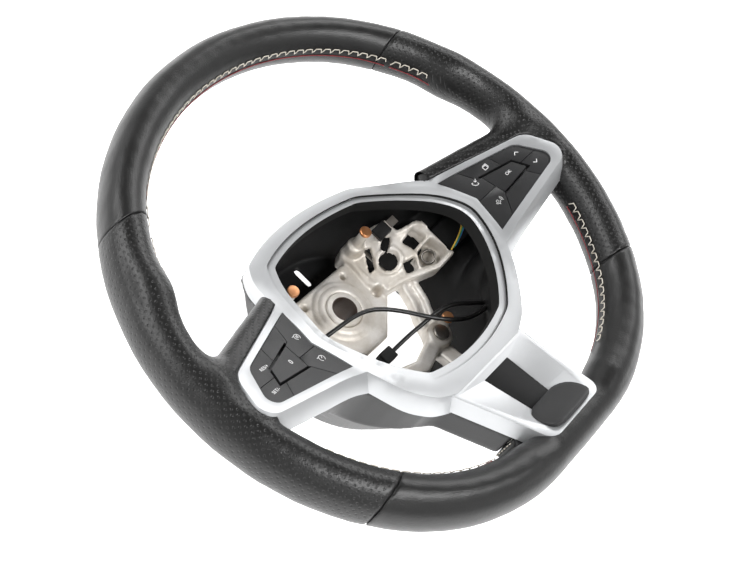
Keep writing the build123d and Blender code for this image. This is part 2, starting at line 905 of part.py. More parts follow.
# Rear cover shell
with BuildPart() as rear_cover:
    add(cover_filled)
    add(cover_room, mode=Mode.SUBTRACT)
    with BuildSketch():
        with Locations((0, (cover_open_top + cover_open_low) / 2)):
            RectangleRounded(2 * cover_open_half, cover_open_top - cover_open_low, cover_open_r)
        with Locations(cover_slot_at):
            Rectangle(*cover_slot)
    extrude(amount=2 * cover_floor, mode=Mode.SUBTRACT)
    with BuildSketch(Plane.XY.offset(cover_post_z)):
        with Locations(cover_post_at, *flipped([cover_post_at])):
            Circle(cover_post_r)
    extrude(amount=arm_top(cover_post_at[0]) - cover_post_z)
    add(arm_pair, mode=Mode.SUBTRACT)
    add(trim_filled, mode=Mode.SUBTRACT)
    add(rim_clear, mode=Mode.SUBTRACT)
rear_cover_body = rear_cover.part.solids().sort_by(SortBy.VOLUME)[-1]

# Leather and foam
rest_outer = thumb_rest(0)
rest_inner = thumb_rest(leather_t)
inner_w = rim_half_w - leather_t
inner_h = rim_half_h - leather_t

with BuildPart() as leather_top:
    add(arc_span((0, 0), rim_r, seam_top_deg, 180 - seam_top_deg, rim_half_w, rim_half_h))
    add(rim_inner, mode=Mode.SUBTRACT)

with BuildPart() as leather_right_grip:
    add(arc_span((0, 0), rim_r, seam_low_deg, seam_top_deg, rim_half_w, rim_half_h))
    add(rest_outer)
    add([rim_inner, rest_inner], mode=Mode.SUBTRACT)
    add(side_arm.part, mode=Mode.SUBTRACT)
leather_right_body = leather_right_grip.part.solids().sort_by(SortBy.VOLUME)[-1]

low_right = arc_span((0, 0), rim_r, blend_deg, seam_low_deg, rim_half_w, rim_half_h)
with BuildPart() as leather_bottom:
    add([low_right, mirrored(low_right), flat_span(rim_half_w, rim_half_h)])
    add(rim_inner, mode=Mode.SUBTRACT)
    add(arm_pair[2:], mode=Mode.SUBTRACT)

with BuildPart() as rim_foam:
    add([rim_inner, rest_inner, mirrored(rest_inner)])
    add(arm_pair, mode=Mode.SUBTRACT)
    add(ring_core, mode=Mode.SUBTRACT)
rim_foam_body = rim_foam.part.solids().sort_by(SortBy.VOLUME)[-1]


# Switch packs under the pads
mat_top = key_t + key_travel + dome_clear + dome_h
board_top = mat_top + mat_t
tray_inside = board_top + board_t
tray_depth = tray_inside + tray_floor
key_spots = [on_pad([spot])[0] for spot in key_centres.values()]


def pad_slab(grow, top, depth):
    """A slab with the pad's outline between two depths under the pad."""
    return straight(pad_plane, pad_face, -top, depth, grow)


with BuildPart() as switch_housing:
    add(pad_slab(tray_gap + tray_wall, tray_top, tray_depth))
    add(pad_slab(tray_gap, 0, tray_inside), mode=Mode.SUBTRACT)
    with BuildSketch(pad_plane.offset(-tray_depth)):
        with Locations(*on_pad([plug_at])):
            Rectangle(*plug_size)
    extrude(amount=-plug_drop)
    add(rim_clear, mode=Mode.SUBTRACT)

with BuildPart() as switch_board:
    add(pad_slab(0, board_top, tray_inside))

with BuildPart() as switch_mat:
    add(pad_slab(-key_gap, mat_top, board_top))
    with BuildSketch(pad_plane.offset(-mat_top)):
        with Locations(*key_spots):
            Circle(dome_r)
    extrude(amount=dome_h)


def key_face(name, shrink):
    """A key's share of the pad, drawn in by a distance on every side."""
    centre = on_pad(key_regions["centre"])
    with BuildSketch() as share:
        Polygon(*on_pad(key_regions[name]))
        offset(amount=-key_split - shrink, kind=Kind.INTERSECTION)
        add(pad_face(-key_gap - shrink), mode=Mode.INTERSECT)
        if name in key_ring:
            with BuildSketch(mode=Mode.SUBTRACT):
                Polygon(*centre)
                offset(amount=key_ring_gap + shrink, kind=Kind.INTERSECTION)
    return share.sketch


def key(name):
    """One key: a top plate with a skirt round it and a plunger over its dome."""
    with BuildPart() as body:
        with BuildSketch(pad_plane.offset(-key_t)):
            add(key_face(name, 0))
        extrude(amount=key_t)
        with BuildSketch(pad_plane.offset(-key_t)):
            add(key_face(name, key_wall))
            with Locations(on_pad([key_centres[name]])[0]):
                Circle(plunger_r, mode=Mode.SUBTRACT)
        extrude(amount=key_t - key_roof, mode=Mode.SUBTRACT)
    return body.part


right_keys = {name: key(name) for name in key_regions}

# Horn plug and its terminal on the right arm
with BuildPart() as horn_connector:
    with BuildSketch(arm_plane):
        with Locations(on_arm(*horn_plug_at)):
            Rectangle(horn_plug[0], horn_plug[1])
    extrude(amount=horn_plug[2])
    chamfer(horn_connector.edges().group_by(Axis.Z)[-1], contact_edge)

with BuildPart() as horn_terminal:
    with BuildSketch(arm_plane):
        with Locations(on_arm(horn_plug_at[0] + terminal_reach, horn_plug_at[1])):
            Rectangle(terminal[0], terminal[1])
    extrude(amount=terminal[2])
    add(horn_connector.part, mode=Mode.SUBTRACT)

# Loose plug on the short cable
with BuildPart() as cable_connector:
    with Locations(cable_plug_at):
        Box(*cable_plug)
    with Locations((cable_plug_at[0] - cable_plug[0] / 2, cable_plug_at[1], cable_plug_at[2])):
        Box(plug_nose[0], plug_nose[1], plug_nose[2])
    chamfer(cable_connector.edges().group_by(Axis.Z)[-1], contact_edge)


# Leads
def lead(name, route, radius):
    """A cable of straight runs joined by arcs, each as wide as the shorter run allows."""
    spots = [Vector(*p) for p in route]
    bends = []
    for before, here, after in zip(spots, spots[1:], spots[2:]):
        turn = radians((here - before).get_angle(after - here))
        shorter = min((here - before).length, (after - here).length)
        bends.append(bend_share * shorter / tan(turn / 2))
    with BuildPart() as cord:
        with BuildLine() as way:
            FilletPolyline(*route, radius=bends)
        with BuildSketch(Plane(origin=way.wire() @ 0, z_dir=way.wire() % 0)):
            Circle(radius)
        sweep()
    print(name, "length", round(way.wire().length, 1), "radii", [round(b, 1) for b in bends])
    return cord.part


long_cable = lead("long_cable", long_route, cable_r)
short_cable = lead("short_cable", short_route, cable_r)
wires = {}
for name, place in {"yellow_wire": 0, "green_wire": 1, "blue_wire": 2}.items():
    route = [(x + place * wire_pitch, y, z + place * wire_pitch * rise) for x, y, z, rise in wire_route]
    wires[name] = lead(name, route, wire_r)

nodes = {
    "armature": armature.part,
    "hub_sleeve": hub_sleeve.part,
    "horn_contacts": horn_contacts.part,
    "arm_rivets": arm_rivets.part,
    "horn_springs": horn_springs.part,
    "airbag_springs": airbag_springs.part,
    "rim_foam": rim_foam_body,
    "leather_top": leather_top.part,
    "leather_right_grip": leather_right_body,
    "leather_left_grip": mirrored(leather_right_body),
    "leather_bottom": leather_bottom.part,
    "hub_bezel": hub_bezel_body,
    "lower_spoke_bezel": lower_spoke_body,
    "lower_spoke_infill": lower_spoke_infill.part,
    "badge_plate": badge_plate.part,
    "rear_cover": rear_cover_body,
    "horn_connector": horn_connector.part,
    "horn_terminal": horn_terminal.part,
    "cable_connector": cable_connector.part,
    "long_cable": long_cable,
    "short_cable": short_cable,
    **wires,
}
for node, shape in {
    "switch_housing": switch_housing.part,
    "switch_board": switch_board.part,
    "switch_mat": switch_mat.part,
    **{f"key_{name}": shape for name, shape in right_keys.items()},
}.items():
    nodes[f"right_{node}"] = shape
    nodes[f"left_{node}"] = mirrored(shape)

os.makedirs("parts", exist_ok=True)
for node, shape in nodes.items():
    shape.label = node
    export_step(shape, f"parts/{node}.step")
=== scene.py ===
"""Looks of a car steering wheel with a flattened leather rim and an open hub.

Metres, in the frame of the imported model: +Z towards the driver, +Y to twelve o'clock.
"""

import json
import math

import bpy
import numpy as np
from mathutils import Matrix, Vector


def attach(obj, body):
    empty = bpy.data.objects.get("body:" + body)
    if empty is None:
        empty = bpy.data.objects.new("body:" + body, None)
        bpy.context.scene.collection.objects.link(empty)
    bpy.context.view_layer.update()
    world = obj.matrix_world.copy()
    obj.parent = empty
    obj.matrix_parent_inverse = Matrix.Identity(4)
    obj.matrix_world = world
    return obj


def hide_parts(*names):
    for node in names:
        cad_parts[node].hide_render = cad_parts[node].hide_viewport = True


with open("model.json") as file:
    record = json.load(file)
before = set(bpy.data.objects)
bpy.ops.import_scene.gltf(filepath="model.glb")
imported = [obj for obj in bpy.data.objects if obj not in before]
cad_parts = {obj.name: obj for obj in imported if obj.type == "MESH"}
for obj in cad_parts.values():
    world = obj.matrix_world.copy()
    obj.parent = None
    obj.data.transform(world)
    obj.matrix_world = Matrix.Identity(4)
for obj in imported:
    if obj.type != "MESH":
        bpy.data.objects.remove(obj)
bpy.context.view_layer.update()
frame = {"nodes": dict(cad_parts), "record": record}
nodes = frame["nodes"]
scene = bpy.context.scene

MM = 0.001
ROOT = "wheel"

# Rim
RIM_Z = 100.0
RIM_R = 168.5
HALF_W = 14.0
HALF_H = 17.8
BLEND_R = 130.0
FLAT_Y = 12.0 - RIM_R
BLEND_Y = FLAT_Y + BLEND_R
BLEND_X = math.sqrt((RIM_R - BLEND_R) ** 2 - BLEND_Y**2)
BLEND_ANGLE = math.atan2(BLEND_Y, BLEND_X)
SEAM_TOP = math.radians(49.8)
SEAM_TOP_SLANT = math.radians(3.0)
SEAM_LOW = math.radians(128.4)
SEAM_LOW_SLANT = math.radians(-2.4)
SEAM_ROUND = 1.0
SEAM_DIP = 0.8

HUB_MIDDLE_Y = -13.0

# Pads
PAD_SLOPE_X = 0.277
PAD_SLOPE_Y = -0.214
PAD_Z = 97.9
PAD_REF_X = 100.0
LOOP_CORNERS = ((40.0, 32.5), (150.5, 0.2), (161.5, -30.3), (40.0, -51.9))
LOOP_ROUND = (0.0, 15.0, 11.0, 0.0)
TRIM_FLARE = math.tan(math.radians(22.0))
TRIM_DEPTH = 14.0

# Thumb rests
REST_TIP = (80.3, 25.0, 81.5)
REST_ROOT = (158.0, 4.5, 102.5)
REST_R_TIP = 6.4
REST_R_ROOT = 9.5
REST_BLEND = 18.0
REST_FADE = 12.0
REST_LIP = 0.5
REST_LIP_DROP = 0.8
REST_LIP_BLEND = 5.0
REST_LIP_LOW = -33.0
BULGE_AT = math.radians(65.8)
BULGE_SPREAD = math.radians(6.1)
BULGE_H = 4.9
BULGE_PHI = math.radians(150.0)
SWELL_H = (2.2, 3.8)
SWELL_FROM = math.radians(40.0)
SWELL_FULL = math.radians(54.0)
SWELL_LOW_FROM = math.radians(88.0)
SWELL_LOW_FULL = math.radians(106.0)
SWELL_SPOKE = (24.0, 48.0)
GRIP_CELL = 1.25
TRIM_GAP = 0.2

# Leather sock on the lower spoke
LEG_SLOPE = 0.437
LEG_TOP = (-89.5, 89.7)
LEG_HALF = (39.0, 27.3)
LEG_LENGTH = 69.0
LEG_DEPTH = 14.2
LEG_TUCK = 77.5
SOCK_Y = -136.0
SOCK_LOW = 68.0
SOCK_RIM_Z = 84.0
SOCK_SWELL = 1.2
SOCK_FLARE = 14.0
SOCK_FLARE_RUN = 7.5
SOCK_BLEND = 8.0
SOCK_FLARE_MOST = 1.5
SOCK_EASE = 0.6
LEG_STRETCH = math.hypot(1, LEG_SLOPE)

RIPPLE = 0.16


def ripple(x, y, z):
    """The slight unevenness of leather pulled over foam, in millimetres."""
    slow = np.sin(0.11 * x + 0.07 * y + 0.4) * np.sin(0.13 * y - 0.09 * z + 1.1)
    quick = np.sin(0.31 * x - 0.27 * y + 0.35 * z) * np.sin(0.23 * x + 0.37 * y - 0.2 * z + 0.7)
    return RIPPLE * (slow + 0.45 * quick)


def pad_height(x, y):
    """Height of the pad plane over a front-view point, both sides alike."""
    return PAD_Z + PAD_SLOPE_X * (abs(x) - PAD_REF_X) + PAD_SLOPE_Y * y


# Materials
RAMP = (0.35, 0.65)
GLOSS_SPREAD = 0.06
GRAIN_DEPTH = 0.0004
LEATHER_DEPTH = 0.00022
HOLE_PITCH = 0.0047
HOLE_R = 0.0006
HOLE_EDGE = (0.75, 1.35)
HOLE_DEPTH = 6.0
HOLE_BLACK = (0.001, 0.001, 0.001, 1)


def shader(mat):
    return mat.node_tree.nodes["Principled BSDF"]


def new_material(name):
    mat = bpy.data.materials.new(name)
    mat.use_nodes = True
    return mat, mat.node_tree, shader(mat)


def fill(tree, node, values):
    """Gives inputs of a node fixed values, or links from other nodes' outputs."""
    for key, value in values.items():
        if isinstance(value, bpy.types.NodeSocket):
            tree.links.new(value, node.inputs[key])
        else:
            node.inputs[key].default_value = value


def add_node(tree, kind, **values):
    node = tree.nodes.new("ShaderNode" + kind)
    fill(tree, node, values)
    return node


def math_node(tree, operation, *values, kind="Math", result="Value"):
    node = add_node(tree, kind)
    node.operation = operation
    fill(tree, node, dict(enumerate(values)))
    return node.outputs[result]


def vector_node(tree, operation, *values, result="Vector"):
    return math_node(tree, operation, *values, kind="VectorMath", result=result)


def map_range(tree, source, to, start=(0.0, 1.0)):
    """Moves a value from one range to another."""
    node = add_node(tree, "MapRange", Value=source)
    fill(tree, node, dict(zip(("From Min", "From Max", "To Min", "To Max"), (*start, *to))))
    return node.outputs["Result"]


def mixed(tree, share, first, second):
    """One colour going over into another, each of them fixed or linked."""
    node = add_node(tree, "Mix")
    node.data_type = "RGBA"
    fill(tree, node, {0: share, 6: first, 7: second})
    return node.outputs[2]


def noise(tree, coords, scale, detail, rough=0.5):
    node = add_node(tree, "TexNoise", Vector=coords, Scale=scale, Detail=detail, Roughness=rough)
    return node.outputs["Fac"]


def ramp(tree, source, low, high):
    """Patches between two colours."""
    node = add_node(tree, "ValToRGB", Fac=source)
    for element, at, colour in zip(node.color_ramp.elements, RAMP, (low, high)):
        element.position = at
        element.color = (*colour, 1)
    return node.outputs["Color"]


def bump_normal(tree, height, strength, depth):
    return add_node(tree, "Bump", Height=height, Strength=strength, Distance=depth).outputs["Normal"]


def grained(name, low, high, rough, grain, bump, metallic=0.0, patch=14.0, coat=0.0, shine=0.5):
    """A moulded, cast or painted surface: patchy colour, patchy gloss and a fine bump."""
    mat, tree, bsdf = new_material(name)
    coords = add_node(tree, "TexCoord").outputs["Object"]
    patches = noise(tree, coords, patch, 5.0, 0.6)
    fill(tree, bsdf, {
        "Metallic": metallic,
        "Coat Weight": coat,
        "Specular IOR Level": shine,
        "Base Color": ramp(tree, patches, low, high),
        "Roughness": map_range(tree, patches, (rough - GLOSS_SPREAD, rough + GLOSS_SPREAD)),
        "Normal": bump_normal(tree, noise(tree, coords, grain, 4.0, 0.55), bump, GRAIN_DEPTH),
    })
    return mat


def leather(name, perforated):
    """Fine-grained black leather, with a staggered grid of small holes where it is perforated."""
    mat, tree, bsdf = new_material(name)
    coords = add_node(tree, "TexCoord").outputs
    patches = noise(tree, coords["Object"], 22.0, 4.0, 0.6)
    colour = ramp(tree, patches, (0.004, 0.0039, 0.0038), (0.007, 0.0069, 0.0067))
    cells = add_node(tree, "TexVoronoi", Vector=coords["Object"], Scale=1100.0).outputs["Distance"]
    height = math_node(tree, "ADD", cells, noise(tree, coords["Object"], 420.0, 3.0))
    if perforated:
        split = add_node(tree, "SeparateXYZ", Vector=coords["UV"]).outputs
        spots = []
        for shift in (0.0, 0.5):
            squares = []
            for axis in "XY":
                step = math_node(tree, "ADD", math_node(tree, "DIVIDE", split[axis], HOLE_PITCH), shift)
                off = math_node(tree, "SUBTRACT", math_node(tree, "FRACT", step), 0.5)
                squares.append(math_node(tree, "MULTIPLY", off, off))
            spots.append(math_node(tree, "SQRT", math_node(tree, "ADD", *squares)))
        edge = [share * HOLE_R / HOLE_PITCH for share in HOLE_EDGE]
        solid = map_range(tree, math_node(tree, "MINIMUM", *spots), (0.0, 1.0), edge)
        colour = mixed(tree, solid, HOLE_BLACK, colour)
        height = math_node(tree, "ADD", math_node(tree, "MULTIPLY", solid, HOLE_DEPTH), height)
    fill(tree, bsdf, {
        "Specular IOR Level": 0.52,
        "Base Color": colour,
        "Roughness": map_range(tree, patches, (0.32, 0.42)),
        "Normal": bump_normal(tree, height, 0.35, LEATHER_DEPTH),
    })
    return mat


MATERIALS = {
    "alloy": grained(
        "cast_alloy", (0.6, 0.55, 0.48), (0.92, 0.89, 0.85), 0.45, 900, 0.5, metallic=0.35, patch=34
    ),
    "steel": grained(
        "bare_steel", (0.22, 0.2, 0.18), (0.42, 0.4, 0.37), 0.38, 1600, 0.25, metallic=0.95, patch=60
    ),
    "foam": grained("moulded_foam", (0.02, 0.02, 0.02), (0.035, 0.035, 0.035), 0.7, 900, 0.4),
    "satin_trim": grained(
        "satin_silver", (0.52, 0.53, 0.54), (0.57, 0.58, 0.59), 0.4, 2600, 0.06, metallic=0.65
    ),
    "black_plastic": grained(
        "black_grain", (0.006, 0.006, 0.006), (0.01, 0.01, 0.0105), 0.5, 1500, 0.4, shine=0.2
    ),
    "grey_plastic": grained(
        "dark_grey", (0.02, 0.02, 0.0205), (0.03, 0.03, 0.0305), 0.4, 1700, 0.2, shine=0.35
    ),
    "key_plastic": grained("key_grey", (0.012, 0.012, 0.0125), (0.018, 0.018, 0.019), 0.42, 2200, 0.2),
    "board": grained("green_board", (0.02, 0.1, 0.04), (0.03, 0.15, 0.06), 0.35, 700, 0.15, coat=0.3),
    "silicone": grained("grey_silicone", (0.3, 0.3, 0.3), (0.4, 0.4, 0.4), 0.55, 600, 0.15),
    "copper": grained(
        "dull_copper", (0.62, 0.26, 0.11), (0.8, 0.4, 0.2), 0.35, 1400, 0.2, metallic=0.8, patch=90
    ),
    "black_sleeve": grained("black_sleeve", (0.008, 0.008, 0.008), (0.014, 0.014, 0.014), 0.3, 800, 0.1),
    "yellow_sleeve": grained("yellow_sleeve", (0.7, 0.42, 0.03), (0.85, 0.55, 0.06), 0.35, 800, 0.1),
    "green_sleeve": grained("green_sleeve", (0.05, 0.35, 0.12), (0.08, 0.48, 0.2), 0.35, 800, 0.1),
    "blue_sleeve": grained("blue_sleeve", (0.03, 0.2, 0.5), (0.06, 0.32, 0.65), 0.35, 800, 0.1),
    "leather": leather("smooth_leather", False),
    "perforated_leather": leather("holed_leather", True),
    "cream_thread": grained("cream_thread", (0.55, 0.5, 0.42), (0.72, 0.68, 0.6), 0.7, 3000, 0.6, patch=300),
    "red_thread": grained("red_thread", (0.16, 0.01, 0.014), (0.26, 0.02, 0.025), 0.7, 3000, 0.6, patch=300),
    "pale_print": grained("pale_print", (0.7, 0.7, 0.7), (0.8, 0.8, 0.8), 0.5, 2000, 0.05),
}

# Painted shade on the hub bezel: how near the axis a wall is, how squarely it faces it, and the near-black
# it is painted
TRIM_INNER_R = 0.09
WALL_FACING = 0.75
WALL_SHADE_BLACK = (0.004, 0.004, 0.004, 1)
BORE_R = 0.0091
BORE_BROWN = (0.07, 0.045, 0.032, 1)


def copied(mat, name):
    mat = mat.copy()
    mat.name = name
    return mat, mat.node_tree, shader(mat)


def repaint(tree, bsdf, where, colour):
    """Puts a fixed colour over a finish where a mask is 1."""
    base = bsdf.inputs["Base Color"].links[0].from_socket
    fill(tree, bsdf, {"Base Color": mixed(tree, where, base, colour)})


def painted_shade_inside(mat, name):
    """A copy of the trim's finish with painted shade on the walls that face the hub's axis: near-black,
    matte and not metallic there.
    """
    mat, tree, bsdf = copied(mat, name)
    place = add_node(tree, "TexCoord").outputs["Object"]
    inward = vector_node(tree, "MULTIPLY_ADD", place, (-1, -1, 0), (0, HUB_MIDDLE_Y * MM, 0))
    normal = add_node(tree, "NewGeometry").outputs["True Normal"]
    facing = vector_node(tree, "DOT_PRODUCT", vector_node(tree, "NORMALIZE", inward), normal, result="Value")
    near = math_node(tree, "LESS_THAN", vector_node(tree, "LENGTH", inward, result="Value"), TRIM_INNER_R)
    # painted shade mask: the walls near the axis that face it
    wall = math_node(tree, "MULTIPLY", math_node(tree, "GREATER_THAN", facing, WALL_FACING), near)
    repaint(tree, bsdf, wall, WALL_SHADE_BLACK)
    fill(tree, bsdf, {
        "Metallic": map_range(tree, wall, (bsdf.inputs["Metallic"].default_value, 0.0)),
        "Roughness": math_node(tree, "MAXIMUM", bsdf.inputs["Roughness"].links[0].from_socket, wall),
    })
    return mat


def stained_bore(mat, name):
    """A copy of the cast finish with the bore's wall stained brown."""
    mat, tree, bsdf = copied(mat, name)
    place = add_node(tree, "TexCoord").outputs["Object"]
    reach = vector_node(tree, "LENGTH", vector_node(tree, "MULTIPLY", place, (1, 1, 0)), result="Value")
    repaint(tree, bsdf, math_node(tree, "LESS_THAN", reach, BORE_R), BORE_BROWN)
    return mat


for entry in frame["record"]["subparts"]:
    node = nodes[entry["node"]]
    node.data.materials.clear()
    node.data.materials.append(MATERIALS[entry["material_slot"]])

nodes["hub_sleeve"].data.materials[0] = stained_bore(MATERIALS["alloy"], "bored_sleeve")
# the hub bezel gets painted shade on its inward walls
nodes["hub_bezel"].data.materials[0] = painted_shade_inside(MATERIALS["satin_trim"], "satin_silver_hub_painted_shade")

KEY_EDGE = 0.35
EDGE_WIDTH = {
    "hub_bezel": 0.9,
    "lower_spoke_bezel": 0.8,
    "lower_spoke_infill": 0.5,
    "horn_connector": 0.4,
    "cable_connector": 0.4,
    "horn_contacts": 0.3,
    "arm_rivets": 0.4,
}
EDGE_ANGLE = math.radians(35)
CREASE_ANGLE = math.radians(38)
WELD_REACH = 0.00002


def soften(node, width):
    """Joins the facets of a CAD node, rounds its sharp edges and shades the rest smooth."""
    for face in node.data.polygons:
        face.use_smooth = True
    weld = node.modifiers.new("weld", "WELD")
    weld.merge_threshold = WELD_REACH
    if width:
        bevel = node.modifiers.new("edges", "BEVEL")
        bevel.width = width * MM
        bevel.segments = 3
        bevel.limit_method = "ANGLE"
        bevel.angle_limit = EDGE_ANGLE
    split = node.modifiers.new("creases", "EDGE_SPLIT")
    split.split_angle = CREASE_ANGLE


for name, node in nodes.items():
    soften(node, KEY_EDGE if "_key_" in name else EDGE_WIDTH.get(name, 0))


# Meshes
def link(name, mesh, slot, body=ROOT):
    mesh.name = name
    obj = bpy.data.objects.new(name, mesh)
    scene.collection.objects.link(obj)
    mesh.materials.append(MATERIALS[slot])
    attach(obj, body)
    return obj


def stand_in(name, mesh, slot, node, *more):
    """A finer piece in the place of a CAD node, with any further materials that its faces use."""
    obj = link(name, mesh, slot)
    for extra in more:
        mesh.materials.append(MATERIALS[extra])
    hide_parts(node)


def mesh_of(verts, faces, smooth=True):
    """A mesh from points in millimetres."""
    mesh = bpy.data.meshes.new("skin")
    mesh.from_pydata([tuple(c * MM for c in v) for v in verts], [], [tuple(f) for f in faces])
    mesh.validate()
    mesh.update()
    for face in mesh.polygons:
        face.use_smooth = smooth
    return mesh


def tube_faces(rings, turns, closed=False, first=0):
    """Quads between rings of points."""
    faces = []
    for n in range(rings if closed else rings - 1):
        for k in range(turns):
            n2, k2 = (n + 1) % rings, (k + 1) % turns
            quad = (n * turns + k, n * turns + k2, n2 * turns + k2, n2 * turns + k)
            faces.append(tuple(first + v for v in quad))
    return faces


def grid(box, cell):
    """Sample points in a box between two corners, a cell apart."""
    low, high = (np.array(corner) for corner in box)
    size = np.ceil((high - low) / cell).astype(int)
    return np.meshgrid(*(low[n] + cell * np.arange(size[n]) for n in range(3)), indexing="ij")


def axes_matrix(across, up, out, at):
    """The place of something whose own axes run along three directions."""
    return Matrix(((*across, 0), (*up, 0), (*out, 0), (*at, 1))).transposed()


ARC_TOP = (math.pi / 2 - BLEND_ANGLE) * RIM_R
ARC_BLEND = (math.pi / 2 + BLEND_ANGLE) * BLEND_R
HALF_PATH = ARC_TOP + ARC_BLEND + BLEND_X
SEAM_END = SEAM_TOP * RIM_R
SEAM_STEPS = (0.0, 0.15, 0.4, 0.7, 1.0)
SEAM_CLEAR = 1.5
SEAM_REACH = 1.2
SWELL_FALL = 1.2
TOP_STEPS = 150
TOP_TURNS = 72
SMOOTH_PULLS = (0.5, -0.52)


def rim_at(s):
    """Centre of the rim section and its outward direction, s millimetres clockwise from the top."""
    side = 1.0
    s = (s + HALF_PATH) % (2 * HALF_PATH) - HALF_PATH
    if s < 0:
        side, s = -1.0, -s
    if s <= ARC_TOP:
        a = math.pi / 2 - s / RIM_R
        x, y, nx, ny = RIM_R * math.cos(a), RIM_R * math.sin(a), math.cos(a), math.sin(a)
    elif s <= ARC_TOP + ARC_BLEND:
        a = BLEND_ANGLE - (s - ARC_TOP) / BLEND_R
        nx, ny = math.cos(a), math.sin(a)
        x, y = BLEND_X + BLEND_R * nx, BLEND_Y + BLEND_R * ny
    else:
        x, y, nx, ny = BLEND_X - (s - ARC_TOP - ARC_BLEND), FLAT_Y, 0.0, -1.0
    return side * x, y, side * nx, ny


def rim_out(x, y):
    """Distance outwards from the middle of the rim section, in front view."""
    side = np.abs(x)
    turn = np.arctan2(y - BLEND_Y, side - BLEND_X)
    blend = np.hypot(side - BLEND_X, y - BLEND_Y) - BLEND_R
    out = np.where(turn < BLEND_ANGLE, blend, np.hypot(x, y) - RIM_R)
    return np.where((side < BLEND_X) & (y < BLEND_Y), FLAT_Y - y, out)


def eased(value, start, end):
    """A smooth step from 0 to 1."""
    t = np.clip((value - start) / (end - start), 0, 1)
    return t * t * (3 - 2 * t)


def swelling(x, y, z):
    """How far the leather swells inwards out of the plain rim: thicker grips and a bulge for each thumb."""
    around = np.arctan2(np.abs(x), y)
    phi = np.arctan2((z - RIM_Z) / HALF_H, rim_out(x, y) / HALF_W)
    height = SWELL_H[0] * eased(around, SWELL_FROM, SWELL_FULL)
    height = height + (SWELL_H[1] - SWELL_H[0]) * eased(around, SWELL_LOW_FROM, SWELL_LOW_FULL)
    height = height + BULGE_H * np.exp(-(((around - BULGE_AT) / BULGE_SPREAD) ** 2))
    height = height * np.where(y < 0, eased(np.abs(x), *SWELL_SPOKE), 1.0)
    return height * np.clip(np.cos(phi - BULGE_PHI), 0, 1) ** SWELL_FALL


def rim_point(s, phi, lift=0.0):
    """A point on the rim's leather: phi 0 is outwards, a quarter turn is towards the driver."""
    x, y, nx, ny = rim_at(s)
    w = HALF_W * math.cos(phi)
    lift = lift + float(swelling(x + nx * w, y + ny * w, RIM_Z + HALF_H * math.sin(phi)))
    w = (HALF_W + lift) * math.cos(phi)
    return x + nx * w, y + ny * w, RIM_Z + (HALF_H + lift) * math.sin(phi)


def swept_leather(start, end):
    """A length of the leather rim with its ends rolled in at the seams."""
    length = end - start
    stations = np.linspace(0, length, TOP_STEPS)
    middle = stations[(stations > SEAM_CLEAR) & (stations < length - SEAM_CLEAR)]
    fine = SEAM_ROUND * np.array(SEAM_STEPS)
    stations = np.unique(np.concatenate([fine, middle, length - fine]))
    verts = []
    for d in stations:
        dip = SEAM_DIP * max(0.0, 1 - min(d, length - d) / SEAM_ROUND) ** 2
        for k in range(TOP_TURNS):
            phi = 2 * math.pi * k / TOP_TURNS
            s = start + d + (2 * d / length - 1) * SEAM_TOP_SLANT * math.cos(phi) * RIM_R
            verts.append(rim_point(s, phi, ripple(*rim_point(s, phi)) - dip - RIPPLE))
    return mesh_of(verts, tube_faces(len(stations), TOP_TURNS))


def smooth_points(verts, faces, rounds):
    """Evens out the points of a closed quad mesh."""
    verts = np.array(verts)
    quads = np.array(faces)
    ends = np.concatenate([quads[:, [0, 1]], quads[:, [1, 2]], quads[:, [2, 3]], quads[:, [3, 0]]])
    for turn in range(2 * rounds):
        total = np.zeros_like(verts)
        count = np.zeros(len(verts))
        np.add.at(total, ends[:, 0], verts[ends[:, 1]])
        np.add.at(total, ends[:, 1], verts[ends[:, 0]])
        np.add.at(count, ends[:, 0], 1)
        np.add.at(count, ends[:, 1], 1)
        verts = verts + SMOOTH_PULLS[turn % 2] * (total / count[:, None] - verts)
    return verts


def surface_net(field, low, cell, rounds):
    """A smoothed skin of quads on the zero level of a field on a grid, one point in each cut cell."""
    inside = field < 0
    corners = [(i, j, k) for i in (0, 1) for j in (0, 1) for k in (0, 1)]
    shape = np.array(field.shape) - 1

    def corner(values, c):
        return values[c[0] : c[0] + shape[0], c[1] : c[1] + shape[1], c[2] : c[2] + shape[2]]

    count = sum(corner(inside, c).astype(int) for c in corners)
    cut = (count > 0) & (count < 8)
    total = np.zeros((*shape, 3))
    hits = np.zeros(shape)
    for a in corners:
        for axis in range(3):
            if a[axis]:
                continue
            b = tuple(1 if n == axis else a[n] for n in range(3))
            fa, fb = corner(field, a), corner(field, b)
            crossing = (fa < 0) != (fb < 0)
            t = np.where(crossing, fa / np.where(crossing, fa - fb, 1.0), 0.0)
            for n in range(3):
                total[..., n] += np.where(crossing, a[n] + (t if n == axis else 0.0), 0.0)
            hits += crossing
    index = -np.ones(shape, int)
    index[cut] = np.arange(cut.sum())
    spots = np.argwhere(cut)
    verts = np.array(low) + cell * (spots + total[cut] / hits[cut][:, None])
    faces = []
    for axis in range(3):
        u, v = [n for n in range(3) if n != axis]
        first = corner(inside, (0, 0, 0))
        second = corner(inside, tuple(int(n == axis) for n in range(3)))
        for spot in np.argwhere(first != second):
            if spot[u] == 0 or spot[v] == 0:
                continue
            quad = []
            for du, dv in ((1, 1), (0, 1), (0, 0), (1, 0)):
                at = spot.copy()
                at[u] -= du
                at[v] -= dv
                quad.append(index[tuple(at)])
            if min(quad) < 0:
                continue
            outward = first[tuple(spot)]
            if axis == 1:
                outward = not outward
            faces.append(quad if outward else quad[::-1])
    return smooth_points(verts, faces, rounds), faces


def soft_union(a, b, reach):
    """The smaller of two distances, filleted where they meet."""
    h = np.clip(0.5 + 0.5 * (b - a) / reach, 0, 1)
    return b + (a - b) * h - reach * h * (1 - h)


def soft_cut(a, b, reach):
    """The larger of two distances, rounded over where they meet."""
    return -soft_union(-a, -b, reach)


